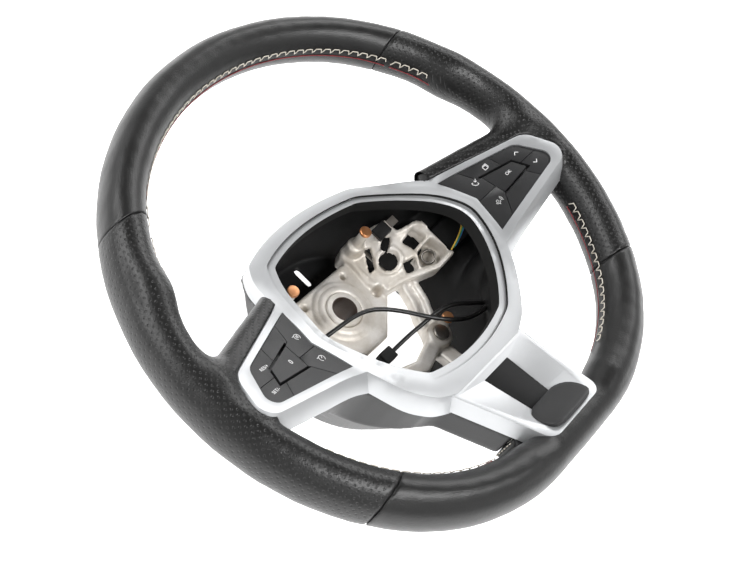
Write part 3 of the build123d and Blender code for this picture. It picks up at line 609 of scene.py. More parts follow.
def rim_field(x, y, z):
    """Distance to the leather rim, swellings included."""
    q = np.sqrt((rim_out(x, y) / HALF_W) ** 2 + ((z - RIM_Z) / HALF_H) ** 2)
    return (q - 1) * (HALF_W + HALF_H) / 2 - swelling(x, y, z)


def leg_half(y):
    """Half the width of the lower spoke, in front view."""
    along = np.clip((LEG_TOP[0] - y) / (LEG_LENGTH * math.cos(math.atan(LEG_SLOPE))), 0, 1)
    return LEG_HALF[0] + (LEG_HALF[1] - LEG_HALF[0]) * along


def leg_height(y):
    """Height of the lower spoke's face."""
    return LEG_TOP[1] + LEG_SLOPE * (LEG_TOP[0] - y)


def sock_field(x, y, z):
    """Distance to the leather sock that runs from the rim a little way up the lower spoke."""
    run = np.clip((SOCK_Y - y) / (SOCK_Y - FLAT_Y), 0, 1)
    low = SOCK_LOW + (SOCK_RIM_Z - SOCK_LOW) * run
    flare = SOCK_FLARE * np.clip((SOCK_Y - y) / SOCK_FLARE_RUN, 0, SOCK_FLARE_MOST) ** 2
    sides = np.maximum((np.abs(x) - leg_half(y) - SOCK_SWELL - flare) * SOCK_EASE, low - z)
    return np.maximum(sides, FLAT_Y - y)


def bar_field(x, y, z, tip, root, r_tip, r_root):
    """Distance to a round bar that widens from its tip to its root."""
    a, b = np.array(tip), np.array(root)
    way = b - a
    t = ((x - a[0]) * way[0] + (y - a[1]) * way[1] + (z - a[2]) * way[2]) / way.dot(way)
    t = np.clip(t, 0, 1)
    d = np.sqrt((x - a[0] - t * way[0]) ** 2 + (y - a[1] - t * way[1]) ** 2 + (z - a[2] - t * way[2]) ** 2)
    return d - (r_tip + (r_root - r_tip) * t)


def loop_outline(steps=8):
    """Points of the trim loop's outline in front view, its two outer corners rounded."""
    points = []
    for n, radius in enumerate(LOOP_ROUND):
        corner = np.array(LOOP_CORNERS[n])
        before = np.array(LOOP_CORNERS[n - 1]) - corner
        after = np.array(LOOP_CORNERS[(n + 1) % len(LOOP_CORNERS)]) - corner
        before, after = before / np.linalg.norm(before), after / np.linalg.norm(after)
        half = math.acos(before.dot(after)) / 2
        middle = corner + (before + after) / np.linalg.norm(before + after) * radius / math.sin(half)
        if not radius:
            points.append(corner)
            continue
        first = corner + before * radius / math.tan(half) - middle
        last = corner + after * radius / math.tan(half) - middle
        for k in range(steps + 1):
            way = first * (1 - k / steps) + last * k / steps
            points.append(middle + way / np.linalg.norm(way) * radius)
    return np.array(points)


def line_distance(x, y, first, last):
    """Distance in front view to a straight run."""
    dx, dy = last[0] - first[0], last[1] - first[1]
    along = np.clip(((x - first[0]) * dx + (y - first[1]) * dy) / (dx * dx + dy * dy), 0, 1)
    return np.hypot(x - first[0] - along * dx, y - first[1] - along * dy)


def outline_distance(x, y, points):
    """Distance in front view to a closed outline, negative inside it, for each column of a grid."""
    x, y = x[:, :, 0], y[:, :, 0]
    points = np.array(points)
    nearest = np.full(x.shape, np.inf)
    inside = np.zeros(x.shape, bool)
    for first, last in zip(points, np.roll(points, -1, axis=0)):
        nearest = np.minimum(nearest, line_distance(x, y, first, last))
        (x0, y0), (x1, y1) = first, last
        if y0 != y1:
            inside ^= ((y0 > y) != (y1 > y)) & (x < (y - y0) * (x1 - x0) / (y1 - y0) + x0)
    return np.where(inside, -nearest, nearest)[:, :, None]


def seam_distance(around, radius, out, seam, slant):
    """Distance along the rim past a slanted seam."""
    return (around - seam - slant * np.clip(out / HALF_W, -SEAM_REACH, SEAM_REACH)) * radius


def seamed(skin, ends, x, y, z):
    """A skin rolled in and ended at its seams, with the ripples of pulled leather."""
    near = np.clip(1 + ends / SEAM_ROUND, 0, 1)
    return np.maximum(skin + SEAM_DIP * near**2, ends) - ripple(x, y, z) + RIPPLE


GRIP_BOX = ((80.0, -122.0, 58.0), (185.0, 122.0, 126.0))
BOTTOM_BOX = ((-152.0, -174.0, 60.0), (152.0, -88.0, 124.0))
LEATHER_ROUNDS = 4
UV_CUT = -2.5
UV_SECTION_R = 16.0
TONGUE_FROM = 1.25 * HALF_W
TONGUE_SKEW = (0.15, 0.8)


def grip_mesh(side):
    """A perforated grip: the rim, the thumb bulge and the tongue on the side spoke as one skin."""
    x, y, z = grid(GRIP_BOX, GRIP_CELL)
    rim = rim_field(x, y, z)
    out = rim_out(x, y)
    tongue = bar_field(x, y, z, REST_TIP, REST_ROOT, REST_R_TIP, REST_R_ROOT)
    plan = outline_distance(x, y, loop_outline())
    depth = pad_height(x, y) - z
    flank = plan - TRIM_FLARE * np.clip(depth, 0, TRIM_DEPTH) - REST_LIP
    lip = np.maximum(np.maximum(flank, REST_LIP_DROP - depth), depth - TRIM_DEPTH)
    lip = np.maximum(np.maximum(lip, REST_TIP[0] - x), REST_LIP_LOW - y)
    skin = soft_union(soft_union(rim, tongue, REST_BLEND), lip, REST_LIP_BLEND)
    skin = rim + (skin - rim) * eased(-out, 0, REST_FADE)
    skin = np.minimum(rim, np.maximum(skin, TRIM_GAP - plan))
    around, radius = np.arctan2(x, y), np.hypot(x, y)
    above = -seam_distance(around, radius, out, SEAM_TOP, SEAM_TOP_SLANT)
    ends = np.maximum(above, seam_distance(around, radius, out, SEAM_LOW, SEAM_LOW_SLANT))
    verts, faces = surface_net(seamed(skin, ends, x, y, z), GRIP_BOX[0], GRIP_CELL, LEATHER_ROUNDS)
    vx, vy, vz = verts.T
    out = np.hypot(vx, vy) - RIM_R
    phi = np.arctan2((vz - RIM_Z) / HALF_H, out / HALF_W)
    phi = np.where(phi < UV_CUT, phi + 2 * math.pi, phi)
    rim_uv = np.stack([np.arctan2(vx, vy) * RIM_R, phi * UV_SECTION_R], axis=1) * MM
    tongue_uv = np.stack([vx - TONGUE_SKEW[0] * vy, vy - TONGUE_SKEW[1] * vz], axis=1) * MM
    if side < 0:
        faces = [f[::-1] for f in faces]
    mesh = mesh_of(verts * (side, 1, 1), faces)
    layer = mesh.uv_layers.new(name="leather")
    for face in mesh.polygons:
        uv = tongue_uv if np.mean(out[list(face.vertices)]) < -TONGUE_FROM else rim_uv
        for loop in face.loop_indices:
            layer.data[loop].uv = uv[mesh.loops[loop].vertex_index]
    return mesh


def bottom_mesh():
    """The lower leather: the flattened rim and the sock on the lower spoke as one skin."""
    x, y, z = grid(BOTTOM_BOX, GRIP_CELL)
    rim = rim_field(x, y, z)
    sock = soft_union(rim, sock_field(x, y, z), SOCK_BLEND)
    under = leg_height(y) - LEG_DEPTH * LEG_STRETCH
    skin = np.minimum(rim, np.maximum(np.maximum(sock, y - SOCK_Y), z - under))
    skin = rim + (skin - rim) * eased(y, FLAT_Y, FLAT_Y + REST_FADE)
    around, radius = np.arctan2(np.abs(x), y), np.hypot(x, y)
    ends = -seam_distance(around, radius, rim_out(x, y), SEAM_LOW, SEAM_LOW_SLANT)
    verts, faces = surface_net(seamed(skin, ends, x, y, z), BOTTOM_BOX[0], GRIP_CELL, LEATHER_ROUNDS)
    return mesh_of(verts, faces)


for name, side in (("right", 1), ("left", -1)):
    stand_in(f"{name}_grip_skin", grip_mesh(side), "perforated_leather", f"leather_{name}_grip")
stand_in("top_skin", swept_leather(-SEAM_END, SEAM_END), "leather", "leather_top")
stand_in("bottom_skin", bottom_mesh(), "leather", "leather_bottom")

# Foam core under the leather
FOAM_SKIN = 1.6
REST_SPARE = 1.0
FOAM_STEPS = 240
FOAM_TURNS = 24
RING_STATIONS = [2 * HALF_PATH * n / FOAM_STEPS for n in range(FOAM_STEPS)]
RING_ANGLES = [2 * math.pi * k / FOAM_TURNS for k in range(FOAM_TURNS)]


def foam_mesh():
    """The closed foam ring, with a round core in each thumb rest."""
    verts = [rim_point(s, a, -FOAM_SKIN) for s in RING_STATIONS for a in RING_ANGLES]
    faces = tube_faces(FOAM_STEPS, FOAM_TURNS, closed=True)
    for side in (1, -1):
        tip, root = (Vector((side * p[0], p[1], p[2])) for p in (REST_TIP, REST_ROOT))
        way = (root - tip).normalized()
        across = way.cross(Vector((0, 0, 1))).normalized()
        up = across.cross(way)
        first = len(verts)
        for at, radius in ((tip, REST_R_TIP), (root, REST_R_ROOT)):
            for a in RING_ANGLES:
                spoke = across * math.cos(a) + up * math.sin(a)
                verts.append(at + spoke * (radius - FOAM_SKIN - REST_SPARE))
        faces += tube_faces(2, FOAM_TURNS, first=first)
        faces.append(tuple(first + k for k in reversed(range(FOAM_TURNS))))
        faces.append(tuple(first + FOAM_TURNS + k for k in range(FOAM_TURNS)))
    return mesh_of(verts, faces)


stand_in("foam_core", foam_mesh(), "foam", "rim_foam")

# Rear cover: a bowl behind the hub, a channel round each side arm and a box behind the lower spoke
HUB_ARCS = (
    ((0.0, 66.5), (27.0, 64.3), (52.0, 57.0)),
    ((52.0, 57.0), (76.0, 29.0), (92.0, -6.0)),
    ((92.0, -6.0), (79.0, -50.0), (48.0, -87.5)),
    ((48.0, -87.5), (25.0, -96.0), (0.0, -99.0)),
)
CROWN_Z = 99.5
CROWN_Y = (-6.0, -52.0)
CROWN_FALL = (0.7, 0.2)
CROWN_SOFT = 8.0
CROWN_BLEND = (62.0, 95.0)
COVER_PROFILE = ((67.0, 0.0), (74.0, 16.0), (86.0, 45.0), (99.0, 66.0), (113.0, 85.0), (120.0, 130.0))
COVER_WALL = 2.4
COVER_FLOOR = 3.2
COVER_RIM = 4.0
COVER_CELL = 1.6
COVER_ROUND = 5.0
LOOP_GROW = 5.0
CHANNEL_X = 60.0
CHANNEL_Y = (-37.0, 17.0)
CHANNEL_Z = (39.0, 0.36)
CHANNEL_REF_X = 80.0
LEG_REACH = 38.5
COLUMN_HALF = 60.0
COLUMN_Y = (-64.0, 24.0)
COLUMN_ROUND = 36.0
SLOT_X = (8.8, 12.8)
SLOT_Y = (31.5, 45.5)
# depth inside the shell past which faces get the painted shade
INNER_SHADE_DEPTH = 1.2
COVER_BOX = ((-166.4, -139.2, -4.8), (166.4, 72.0, 112.0))
COVER_ROUNDS = 6
CROWN_LIFT = 1.0
BOWL_EASE = 0.9
PLAN_BLEND = 10.0
CHANNEL_BLEND = 12.0
LEG_BLEND = 6.0
SOCK_GAP = 0.3
RIM_GAP = 1.0


def arc_points(first, through, last, steps=8):
    """Points on the circle through three points of an outline."""
    (ax, ay), (bx, by), (cx, cy) = first, through, last
    d = 2 * (ax * (by - cy) + bx * (cy - ay) + cx * (ay - by))
    a2, b2, c2 = ax * ax + ay * ay, bx * bx + by * by, cx * cx + cy * cy
    ox = (a2 * (by - cy) + b2 * (cy - ay) + c2 * (ay - by)) / d
    oy = (a2 * (cx - bx) + b2 * (ax - cx) + c2 * (bx - ax)) / d
    start, end = math.atan2(ay - oy, ax - ox), math.atan2(cy - oy, cx - ox)
    turn = (end - start + math.pi) % (2 * math.pi) - math.pi
    radius = math.hypot(ax - ox, ay - oy)
    angles = [start + turn * n / steps for n in range(steps)]
    return [(ox + radius * math.cos(a), oy + radius * math.sin(a)) for a in angles]


def trim_height(x, y):
    """Height of the trim's outer face: a crowned hub that runs out into the pad planes."""
    up = CROWN_SOFT * np.log1p(np.exp((y - CROWN_Y[0]) / CROWN_SOFT))
    low = CROWN_SOFT * np.log1p(np.exp((CROWN_Y[1] - y) / CROWN_SOFT))
    hub = CROWN_Z - CROWN_FALL[0] * up - CROWN_FALL[1] * low
    return hub + eased(np.abs(x), *CROWN_BLEND) * (pad_height(x, y) + CROWN_LIFT - hub)


def span(value, ends):
    """Distance out of the range between two ends."""
    return np.abs(value - sum(ends) / 2) - (ends[1] - ends[0]) / 2


def cover_field(x, y, z, inset):
    """Distance to the block that the cover fills, or to the room inside its wall."""
    side = np.abs(x)
    right = [p for arc in HUB_ARCS for p in arc_points(*arc)]
    outline = right + [HUB_ARCS[-1][-1]] + [(-px, py) for px, py in reversed(right[1:])]
    loop = outline_distance(side, y, loop_outline()) - LOOP_GROW
    plan = soft_union(outline_distance(x, y, outline), loop, PLAN_BLEND)
    radii, heights = zip(*COVER_PROFILE)
    bowl = (np.hypot(x, y - HUB_MIDDLE_Y) - np.interp(z, heights, radii)) * BOWL_EASE
    bowl = np.maximum(bowl, -inset - z)
    base = CHANNEL_Z[0] + CHANNEL_Z[1] * (side - CHANNEL_REF_X)
    channel = np.maximum(np.maximum(y - CHANNEL_Y[1], CHANNEL_Y[0] - y), base - z)
    channel = np.maximum(channel, CHANNEL_X - side)
    under = trim_height(x, y) - TRIM_DEPTH
    sheet = under - COVER_RIM - z
    body = np.maximum(plan, np.minimum(soft_union(bowl, channel, CHANNEL_BLEND), sheet))
    body = np.maximum(body, z - under)
    top = leg_height(y)
    leg = soft_cut(side - leg_half(y), (top - LEG_REACH * LEG_STRETCH - z) / LEG_STRETCH, COVER_ROUND)
    leg = np.maximum(np.maximum(leg, (z - top) / LEG_STRETCH + LEG_DEPTH), y + LEG_TUCK)
    return np.maximum(soft_union(body, leg, LEG_BLEND), SOCK_Y + SOCK_GAP - y) + inset


def cover_mesh():
    """The cover as a shell, open towards the trim, with slots and the round-cornered hole for the column."""
    x, y, z = grid(COVER_BOX, COVER_CELL)
    outer = cover_field(x, y, z, 0.0)
    wall = np.maximum(outer, -cover_field(x, y, z - COVER_WALL, COVER_WALL))
    across = np.abs(x) - COLUMN_HALF + COLUMN_ROUND
    down = span(y, COLUMN_Y) + COLUMN_ROUND
    hole = np.hypot(np.maximum(across, 0), np.maximum(down, 0)) - COLUMN_ROUND
    hole = hole + np.minimum(np.maximum(across, down), 0)
    slot = np.maximum(span(np.abs(x), SLOT_X), span(y, SLOT_Y))
    for cut in (hole, slot):
        wall = np.maximum(wall, -np.maximum(cut, z - 2 * COVER_FLOOR))
    wall = np.maximum(wall, RIM_GAP - rim_field(x, y, z))
    verts, faces = surface_net(wall, COVER_BOX[0], COVER_CELL, COVER_ROUNDS)
    mesh = mesh_of(verts, faces)
    most = np.array(outer.shape) - 1
    # Painted shade: faces on the inside of the shell take the black finish, darker than its grey outside
    for face in mesh.polygons:
        spot = np.rint((np.array(face.center) / MM - COVER_BOX[0]) / COVER_CELL).astype(int)
        face.material_index = int(outer[tuple(np.clip(spot, 0, most))] < -INNER_SHADE_DEPTH)
    return mesh


# the second finish, black, is painted shade for the cover's inside
stand_in("cover_shell", cover_mesh(), "grey_plastic", "rear_cover", "black_plastic")

# Die-cast armature: hub plate, side arms, lower struts with their bridge, and the ring in the rim
CAST_CELL = 1.3
CAST_BOX = ((-156.0, -158.6, 5.2), (156.0, 39.0, 106.6))
CAST_ROUNDS = 2
CAST_PLATE = (
    (-6.0, 25.0), (26.0, 25.0), (36.0, 22.0), (37.0, -12.0), (27.0, -20.4), (12.0, -33.0), (-6.0, -33.0)
)
CAST_PLATE_Z = (12.0, 22.0)
CAST_STEPS = ((22.0, 23.3), (18.0, 24.5))
CAST_DROP = 8.0
SLEEVE_R = 13.0
SLEEVE_GAP = 0.1
ARM_PLAN = (
    (29.0, 3.0), (31.0, 20.0), (29.0, 29.0), (34.0, 33.5), (50.0, 31.5), (64.5, 26.0),
    (65.0, 15.0), (77.5, 11.0), (84.0, 0.0), (154.0, 0.0), (154.0, -22.0), (84.0, -22.0),
    (81.0, -24.0), (67.5, -24.5), (58.0, -20.0), (47.3, -14.0), (34.5, -10.5),
)
ARM_SLOPE = 0.59
ARM_FROM = (33.0, 25.0)
ARM_T = 11.0
ARM_LIP = (1.6, 1.3)
ARM_HOLLOW = 2.0
POCKET_DEPTH = 7.5
POCKETS = (
    ((63.0, 7.0), (73.5, 8.5), (75.5, -1.5), (65.0, -2.6)),
    ((65.3, -5.4), (77.0, -5.0), (79.0, -19.5), (69.5, -20.5), (60.8, -14.5)),
    ((54.5, -3.8), (62.3, -6.8), (58.6, -14.0), (51.5, -11.0)),
)
THROUGH = (
    ((66.2, -1.8), (70.4, -1.8), (70.4, 6.2), (66.2, 6.2)),
    ((54.2, -6.5), (58.5, -7.5), (57.0, -11.5), (53.0, -10.5)),
    ((36.0, 7.5), (40.0, 6.5), (47.6, 19.6), (43.6, 21.6)),
)
ROUND_HOLE = (48.4, 4.0, 6.6)
ROUND_RING = (9.2, 1.6)
OBLONG = ((52.8, 12.6), (57.2, 15.4), 2.7)
STRUT_WAY = ((52.0, -15.0), (45.0, -30.0), (36.0, -42.0), (29.0, -55.0))
STRUT_HALF = 6.8
STRUT_T = 10.0
STRUT_TOPS = (
    (-156.5, 102.0), (-100.0, 63.0), (-80.0, 46.0), (-66.0, 40.0), (-40.0, 35.5), (-20.0, 31.0), (-8.0, 31.0)
)
STRUT_GROOVE = (2.4, 3.2)
LOBE = (27.0, -57.0, 9.4)
LOBE_Z = (32.5, 45.5)
BRIDGE = ((27.0, -57.0), (0.0, -65.0), 5.4)
BRIDGE_Z = (34.0, 43.0)
TAIL_WAY = ((25.0, -62.0), (21.0, -82.0), (20.0, -154.0))
TAIL_HALF = 6.0
RIVET_HOLE = 4.0
POSTS = ((38.6, 27.0), (36.0, -53.0))
POST_R = 3.4
POST_FOOT = 6.4
POST_FOOT_H = 9.0
POST_Z = (26.0, 50.2)
PLATE_HOLES = ((20.5, 18.0, 2.2), (31.7, -5.3, 3.5))
HOLE_FLOOR = 15.0
THIN_FLOOR = 3.2
THIN_GROW = 5.0
SHEATH_X = 79.5
SHEATH_DROP = 5.0
RING_CORE_R = 6.0
CAST_BLEND = 1.6
CAST_EDGE = 2.0
BRIDGE_EDGE = 2.5
GROOVE_BLEND = 1.5
LIP_BLEND = 1.2
STEP_BLEND = 0.8


def way_distance(x, y, way):
    """Distance in front view to a broken line."""
    return np.minimum.reduce([line_distance(x, y, a, b) for a, b in zip(way, way[1:])])


def between(z, low, high):
    """Distance out of a layer between two heights."""
    return np.maximum(low - z, z - high)


def arm_field(side, y, z):
    """Distance to a side arm: a sloped block with a lip round it, pockets and through holes."""
    plan = outline_distance(side, y, ARM_PLAN)
    drop = (z - ARM_FROM[1] - ARM_SLOPE * (side - ARM_FROM[0])) / math.hypot(1, ARM_SLOPE)
    block = soft_cut(plan, np.maximum(drop, -drop - ARM_T), ARM_HOLLOW)
    lip = np.maximum(np.abs(plan + ARM_LIP[0]) - ARM_LIP[0], between(drop, -ARM_HOLLOW, ARM_LIP[1]))
    block = soft_union(block, lip, LIP_BLEND)
    hole = np.hypot(side - ROUND_HOLE[0], y - ROUND_HOLE[1]) - ROUND_HOLE[2]
    collar = np.maximum(hole + ROUND_HOLE[2] - ROUND_RING[0], between(drop, -ARM_T, ROUND_RING[1]))
    block = soft_union(block, collar, GROOVE_BLEND)
    for outline in POCKETS:
        pocket = np.maximum(outline_distance(side, y, outline), -POCKET_DEPTH - drop)
        block = soft_cut(block, -pocket, CAST_BLEND)
    cuts = [outline_distance(side, y, outline) for outline in THROUGH]
    cuts += [hole, line_distance(side, y, *OBLONG[:2]) - OBLONG[2]]
    for cut in cuts:
        under = np.maximum(cut - THIN_GROW, drop + THIN_FLOOR)
        block = np.maximum(block, -np.minimum(cut, under))
    return np.maximum(block, np.minimum(drop + SHEATH_DROP, side - SHEATH_X))


def strut_field(side, y, z):
    """Distance to a lower strut: grooved, ending in the riveted lobe, its bridge and the tail to the rim."""
    top = np.interp(y, *zip(*STRUT_TOPS))
    layer = between(z, top - STRUT_T, top)
    way = way_distance(side, y, STRUT_WAY)
    strut = soft_cut(way - STRUT_HALF, layer, CAST_EDGE)
    strut = soft_cut(strut, -np.maximum(way - STRUT_GROOVE[0], top - STRUT_GROOVE[1] - z), GROOVE_BLEND)
    lobe = soft_cut(np.hypot(side - LOBE[0], y - LOBE[1]) - LOBE[2], between(z, *LOBE_Z), CAST_EDGE)
    bridge = soft_cut(line_distance(side, y, *BRIDGE[:2]) - BRIDGE[2], between(z, *BRIDGE_Z), BRIDGE_EDGE)
    tail = soft_cut(way_distance(side, y, TAIL_WAY) - TAIL_HALF, layer, CAST_EDGE)
    for part in (lobe, bridge, tail):
        strut = soft_union(strut, part, CAST_BLEND)
    return strut


def casting_field(x, y, z):
    """Distance to the whole casting without its rim ring."""
    side = np.abs(x)
    radius = np.hypot(x, y)
    body = soft_cut(outline_distance(side, y, CAST_PLATE), between(z, *CAST_PLATE_Z), CAST_EDGE)
    for step_r, top in CAST_STEPS:
        body = soft_union(body, np.maximum(radius - step_r, between(z, CAST_DROP, top)), STEP_BLEND)
    for part in (arm_field(side, y, z), strut_field(side, y, z)):
        body = soft_union(body, part, CAST_BLEND)
    for px, py in POSTS:
        post = np.hypot(side - px, y - py)
        for post_r, top in ((POST_R, POST_Z[1]), (POST_FOOT, POST_Z[0] + POST_FOOT_H)):
            body = soft_union(body, np.maximum(post - post_r, between(z, POST_Z[0], top)), CAST_BLEND)
    for px, py, hole_r in PLATE_HOLES:
        body = np.maximum(body, np.minimum(hole_r - np.hypot(side - px, y - py), z - HOLE_FLOOR))
    body = np.maximum(body, RIVET_HOLE - np.hypot(side - LOBE[0], y - LOBE[1]))
    return np.maximum(body, SLEEVE_R + SLEEVE_GAP - radius)


def casting_mesh():
    """The casting's skin, with the ring that the foam is moulded round."""
    x, y, z = grid(CAST_BOX, CAST_CELL)
    verts, faces = surface_net(casting_field(x, y, z), CAST_BOX[0], CAST_CELL, CAST_ROUNDS)
    verts = [tuple(v) for v in verts]
    faces += tube_faces(FOAM_STEPS, FOAM_TURNS, closed=True, first=len(verts))
    for s in RING_STATIONS:
        cx, cy, nx, ny = rim_at(s)
        for a in RING_ANGLES:
            w = RING_CORE_R * math.cos(a)
            verts.append((cx + nx * w, cy + ny * w, RIM_Z + RING_CORE_R * math.sin(a)))
    mesh = mesh_of(verts, faces)
    for face in mesh.polygons:
        face.material_index = int(abs(face.center.x) > SHEATH_X * MM and face.center.y > CHANNEL_Y[0] * MM)
    return mesh


stand_in("hub_casting", casting_mesh(), "alloy", "armature", "black_plastic")

# Stitching on the inner side of the rim, and at the edge of the sock
STITCH_PHI = math.radians(166.0)
STITCH_PITCH = 7.4
STITCH_RISE = 1.7
THREAD_R = 0.36
RED_PHI = math.radians(179.0)
RED_R = 0.32
SOCK_STITCHES = 6
SOCK_STITCH_X = 31.9
SOCK_STITCH_Z = 90.0
SOCK_STITCH_PITCH = 3.6
SOCK_STITCH_IN = 0.9
STITCH_GAP = 2.0
STITCH_TO = math.radians(62) * RIM_R
STITCH_FROM = math.radians(112) * RIM_R
STITCH_CLEAR = 64.0
STITCH_END = HALF_PATH - STITCH_CLEAR
STITCH_RUNS = (
    (STITCH_GAP - SEAM_END, SEAM_END - STITCH_GAP),
    (SEAM_END + STITCH_GAP, STITCH_TO),
    (STITCH_FROM, STITCH_END),
    (-STITCH_TO, -SEAM_END - STITCH_GAP),
    (-STITCH_END, -STITCH_FROM),
)
RED_STEP = 2.5
RED_LIFT = 0.1
# One stitch: pitches along, rises up and millimetres out of the leather
STITCH_SHAPE = (
    (0.0, -1, -0.15), (0.16, 0, 0.3), (0.3, 0.9, 0.32), (0.38, 1, 0.32),
    (0.8, 1, 0.32), (0.88, 0.9, 0.32), (0.97, -0.2, 0.28),
)


def line_curve(name, kind, runs, radius, round_steps):
    """A round curve along one or more lines of points in millimetres."""
    curve = bpy.data.curves.new(name, "CURVE")
    curve.dimensions = "3D"
    curve.bevel_depth = radius * MM
    curve.bevel_resolution = round_steps
    for points in runs:
        spline = curve.splines.new(kind)
        spline.points.add(len(points) - 1)
        for at, p in zip(spline.points, points):
            at.co = (*(c * MM for c in p), 1)
    return curve


def curve_mesh(name, curve):
    """The mesh of a curve or of words."""
    draft = bpy.data.objects.new(name + "_draft", curve)
    scene.collection.objects.link(draft)
    bpy.context.view_layer.update()
    mesh = bpy.data.meshes.new_from_object(draft.evaluated_get(bpy.context.evaluated_depsgraph_get()))
    bpy.data.objects.remove(draft)
    mesh.materials.clear()
    return mesh


def thread(name, runs, radius, slot):
    """Thread along one or more lines of points."""
    mesh = curve_mesh(name, line_curve(name, "POLY", runs, radius, 2))
    for face in mesh.polygons:
        face.use_smooth = True
    link(name, mesh, slot)


scallops, red_lines = [], []
for start, end in STITCH_RUNS:
    line = []
    for n in range(int((end - start) / STITCH_PITCH)):
        s = start + n * STITCH_PITCH
        for along, up, lift in STITCH_SHAPE:
            phi = STITCH_PHI - up * STITCH_RISE / HALF_H
            line.append(rim_point(s + along * STITCH_PITCH, phi, lift))
    scallops.append(line)
    steps = int((end - start) / RED_STEP)
    places = [start + (end - start) * n / steps for n in range(steps + 1)]
    red_lines.append([rim_point(s, RED_PHI, RED_LIFT) for s in places])
for side in (1, -1):
    for n in range(SOCK_STITCHES):
        z = SOCK_STITCH_Z - n * SOCK_STITCH_PITCH
        at = (side * SOCK_STITCH_X, SOCK_Y - SOCK_STITCH_IN)
        scallops.append([(*at, z), (*at, z - SOCK_STITCH_PITCH / 2)])
thread("cream_stitch", scallops, THREAD_R, "cream_thread")
thread("red_stitch", red_lines, RED_R, "red_thread")

# Bare badge plate at the foot of the lower spoke
BADGE_AT = Vector((0.0, -132.79, 101.12))
BADGE_N = Vector((0.0, 0.6825, 0.731))
BADGE_DOWN = Vector((0.0, -0.731, 0.6825))
BADGE_HALVES = (
    (0.3, 10.6), (1.4, 13.6), (3.2, 16.8), (6.0, 19.2), (9.5, 20.5), (13.0, 21.0),
    (17.0, 20.8), (20.5, 20.0), (22.8, 18.6), (24.2, 16.2), (24.9, 12.5), (25.1, 6.0),
)
BADGE_MIDDLE = 16.3167
BADGE_BASE = 0.6
BADGE_EDGE = 3.0
BADGE_DOME = 0.5
BADGE_RINGS = (
    (1.0, 0.0, 0.0), (1.0, 0.82, 0.0), (0.985, 0.95, 0.1),
    (0.96, 1.0, 0.3), (0.8, 1.0, 0.55), (0.5, 1.0, 0.85),
)


def badge_mesh():
    """A domed plate with bowed sides, its upper edge rounded over."""
    outline = [(h, v) for v, h in BADGE_HALVES]
    outline += [(-h, v) for h, v in reversed(outline)]
    verts = []
    for share, rise, dome in BADGE_RINGS:
        height = BADGE_BASE + (BADGE_EDGE - BADGE_BASE) * rise + BADGE_DOME * dome
        for u, v in outline:
            spot = Vector((u * share, 0, 0)) + BADGE_DOWN * (BADGE_MIDDLE + (v - BADGE_MIDDLE) * share)
            verts.append(BADGE_AT + spot + BADGE_N * height)
    count = len(outline)
    faces = tube_faces(len(BADGE_RINGS), count)
    verts.append(BADGE_AT + BADGE_DOWN * BADGE_MIDDLE + BADGE_N * (BADGE_EDGE + BADGE_DOME))
    last = (len(BADGE_RINGS) - 1) * count
    faces += [(last + k, last + (k + 1) % count, len(verts) - 1) for k in range(count)]
    faces.append(tuple(reversed(range(count))))
    return mesh_of(verts, faces)


stand_in("bare_badge", badge_mesh(), "grey_plastic", "badge_plate")

# Leads: radius in millimetres, length in metres and route
CABLE_R = 1.5
LEADS = {
    "long_cable": (CABLE_R, 0.1493, (
        (-57.0, -7.0, 36.0), (-47.0, -8.0, 46.0), (-33.0, -9.5, 50.0), (-15.0, -11.5, 52.0),
        (-2.0, -17.0, 52.5), (10.0, -29.0, 54.0), (21.5, -46.0, 56.5), (36.5, -60.0, 56.5),
        (52.0, -65.5, 54.0), (66.0, -66.0, 51.0),
    )),
    "short_cable": (CABLE_R, 0.0861, (
        (-9.0, -43.7, 40.0), (6.9, -43.4, 42.5), (20.2, -44.8, 49.0), (33.9, -45.6, 53.5),
        (46.5, -49.8, 54.0), (60.4, -59.0, 53.0), (70.0, -63.0, 49.0),
    )),
}
WIRE_ROUTE = (
    (95.0, -8.3, 80.9, 0.277),
    (94.5, -9.6, 73.5, 0.277),
    (91.5, -14.0, 66.5, 0.4),
    (86.0, -18.5, 60.0, 0.59),
    (79.5, -21.0, 53.2, 0.59),
)
WIRE_PITCH = 1.6
WIRE_R = 0.55
WIRE_LENGTH = 0.0351
for place, name in enumerate(("yellow_wire", "green_wire", "blue_wire")):
    route = tuple((x + place * WIRE_PITCH, y, z + place * WIRE_PITCH * rise) for x, y, z, rise in WIRE_ROUTE)
    LEADS[name] = (WIRE_R, WIRE_LENGTH, route)

for name, (radius, length, route) in LEADS.items():
    curve = line_curve(name + "_lead", "NURBS", [route], radius, 4)
    curve.use_fill_caps = True
    spline = curve.splines[0]
    spline.order_u = 3
    spline.use_endpoint_u = True
    spline.resolution_u = 12
    slot = "black_sleeve" if "cable" in name else name.replace("wire", "sleeve")
    curve.materials.append(MATERIALS[slot])
    lead = bpy.data.objects.new(name + "_lead", curve)
    scene.collection.objects.link(lead)
    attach(lead, ROOT)
    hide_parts(name)

# Marks on the keys
MARK_LIFT = 0.06
MARK_T = 0.05


def pad_matrix(side, x, y):
    """Places a flat mark, drawn in millimetres, on a pad with its top towards twelve o'clock."""
    normal = Vector((-side * PAD_SLOPE_X, -PAD_SLOPE_Y, 1)).normalized()
    along = Vector((1, 0, side * PAD_SLOPE_X)).normalized()
    up = normal.cross(along)
    base = Vector((side * x, y, pad_height(x, y))) + normal * MARK_LIFT
    return Matrix.Scale(MM, 4) @ axes_matrix(along, up, normal, base)


def print_mark(name, mesh, side, key):
    mark = link(name, mesh, "pale_print", f"{'right' if side > 0 else 'left'}_key_{key}")


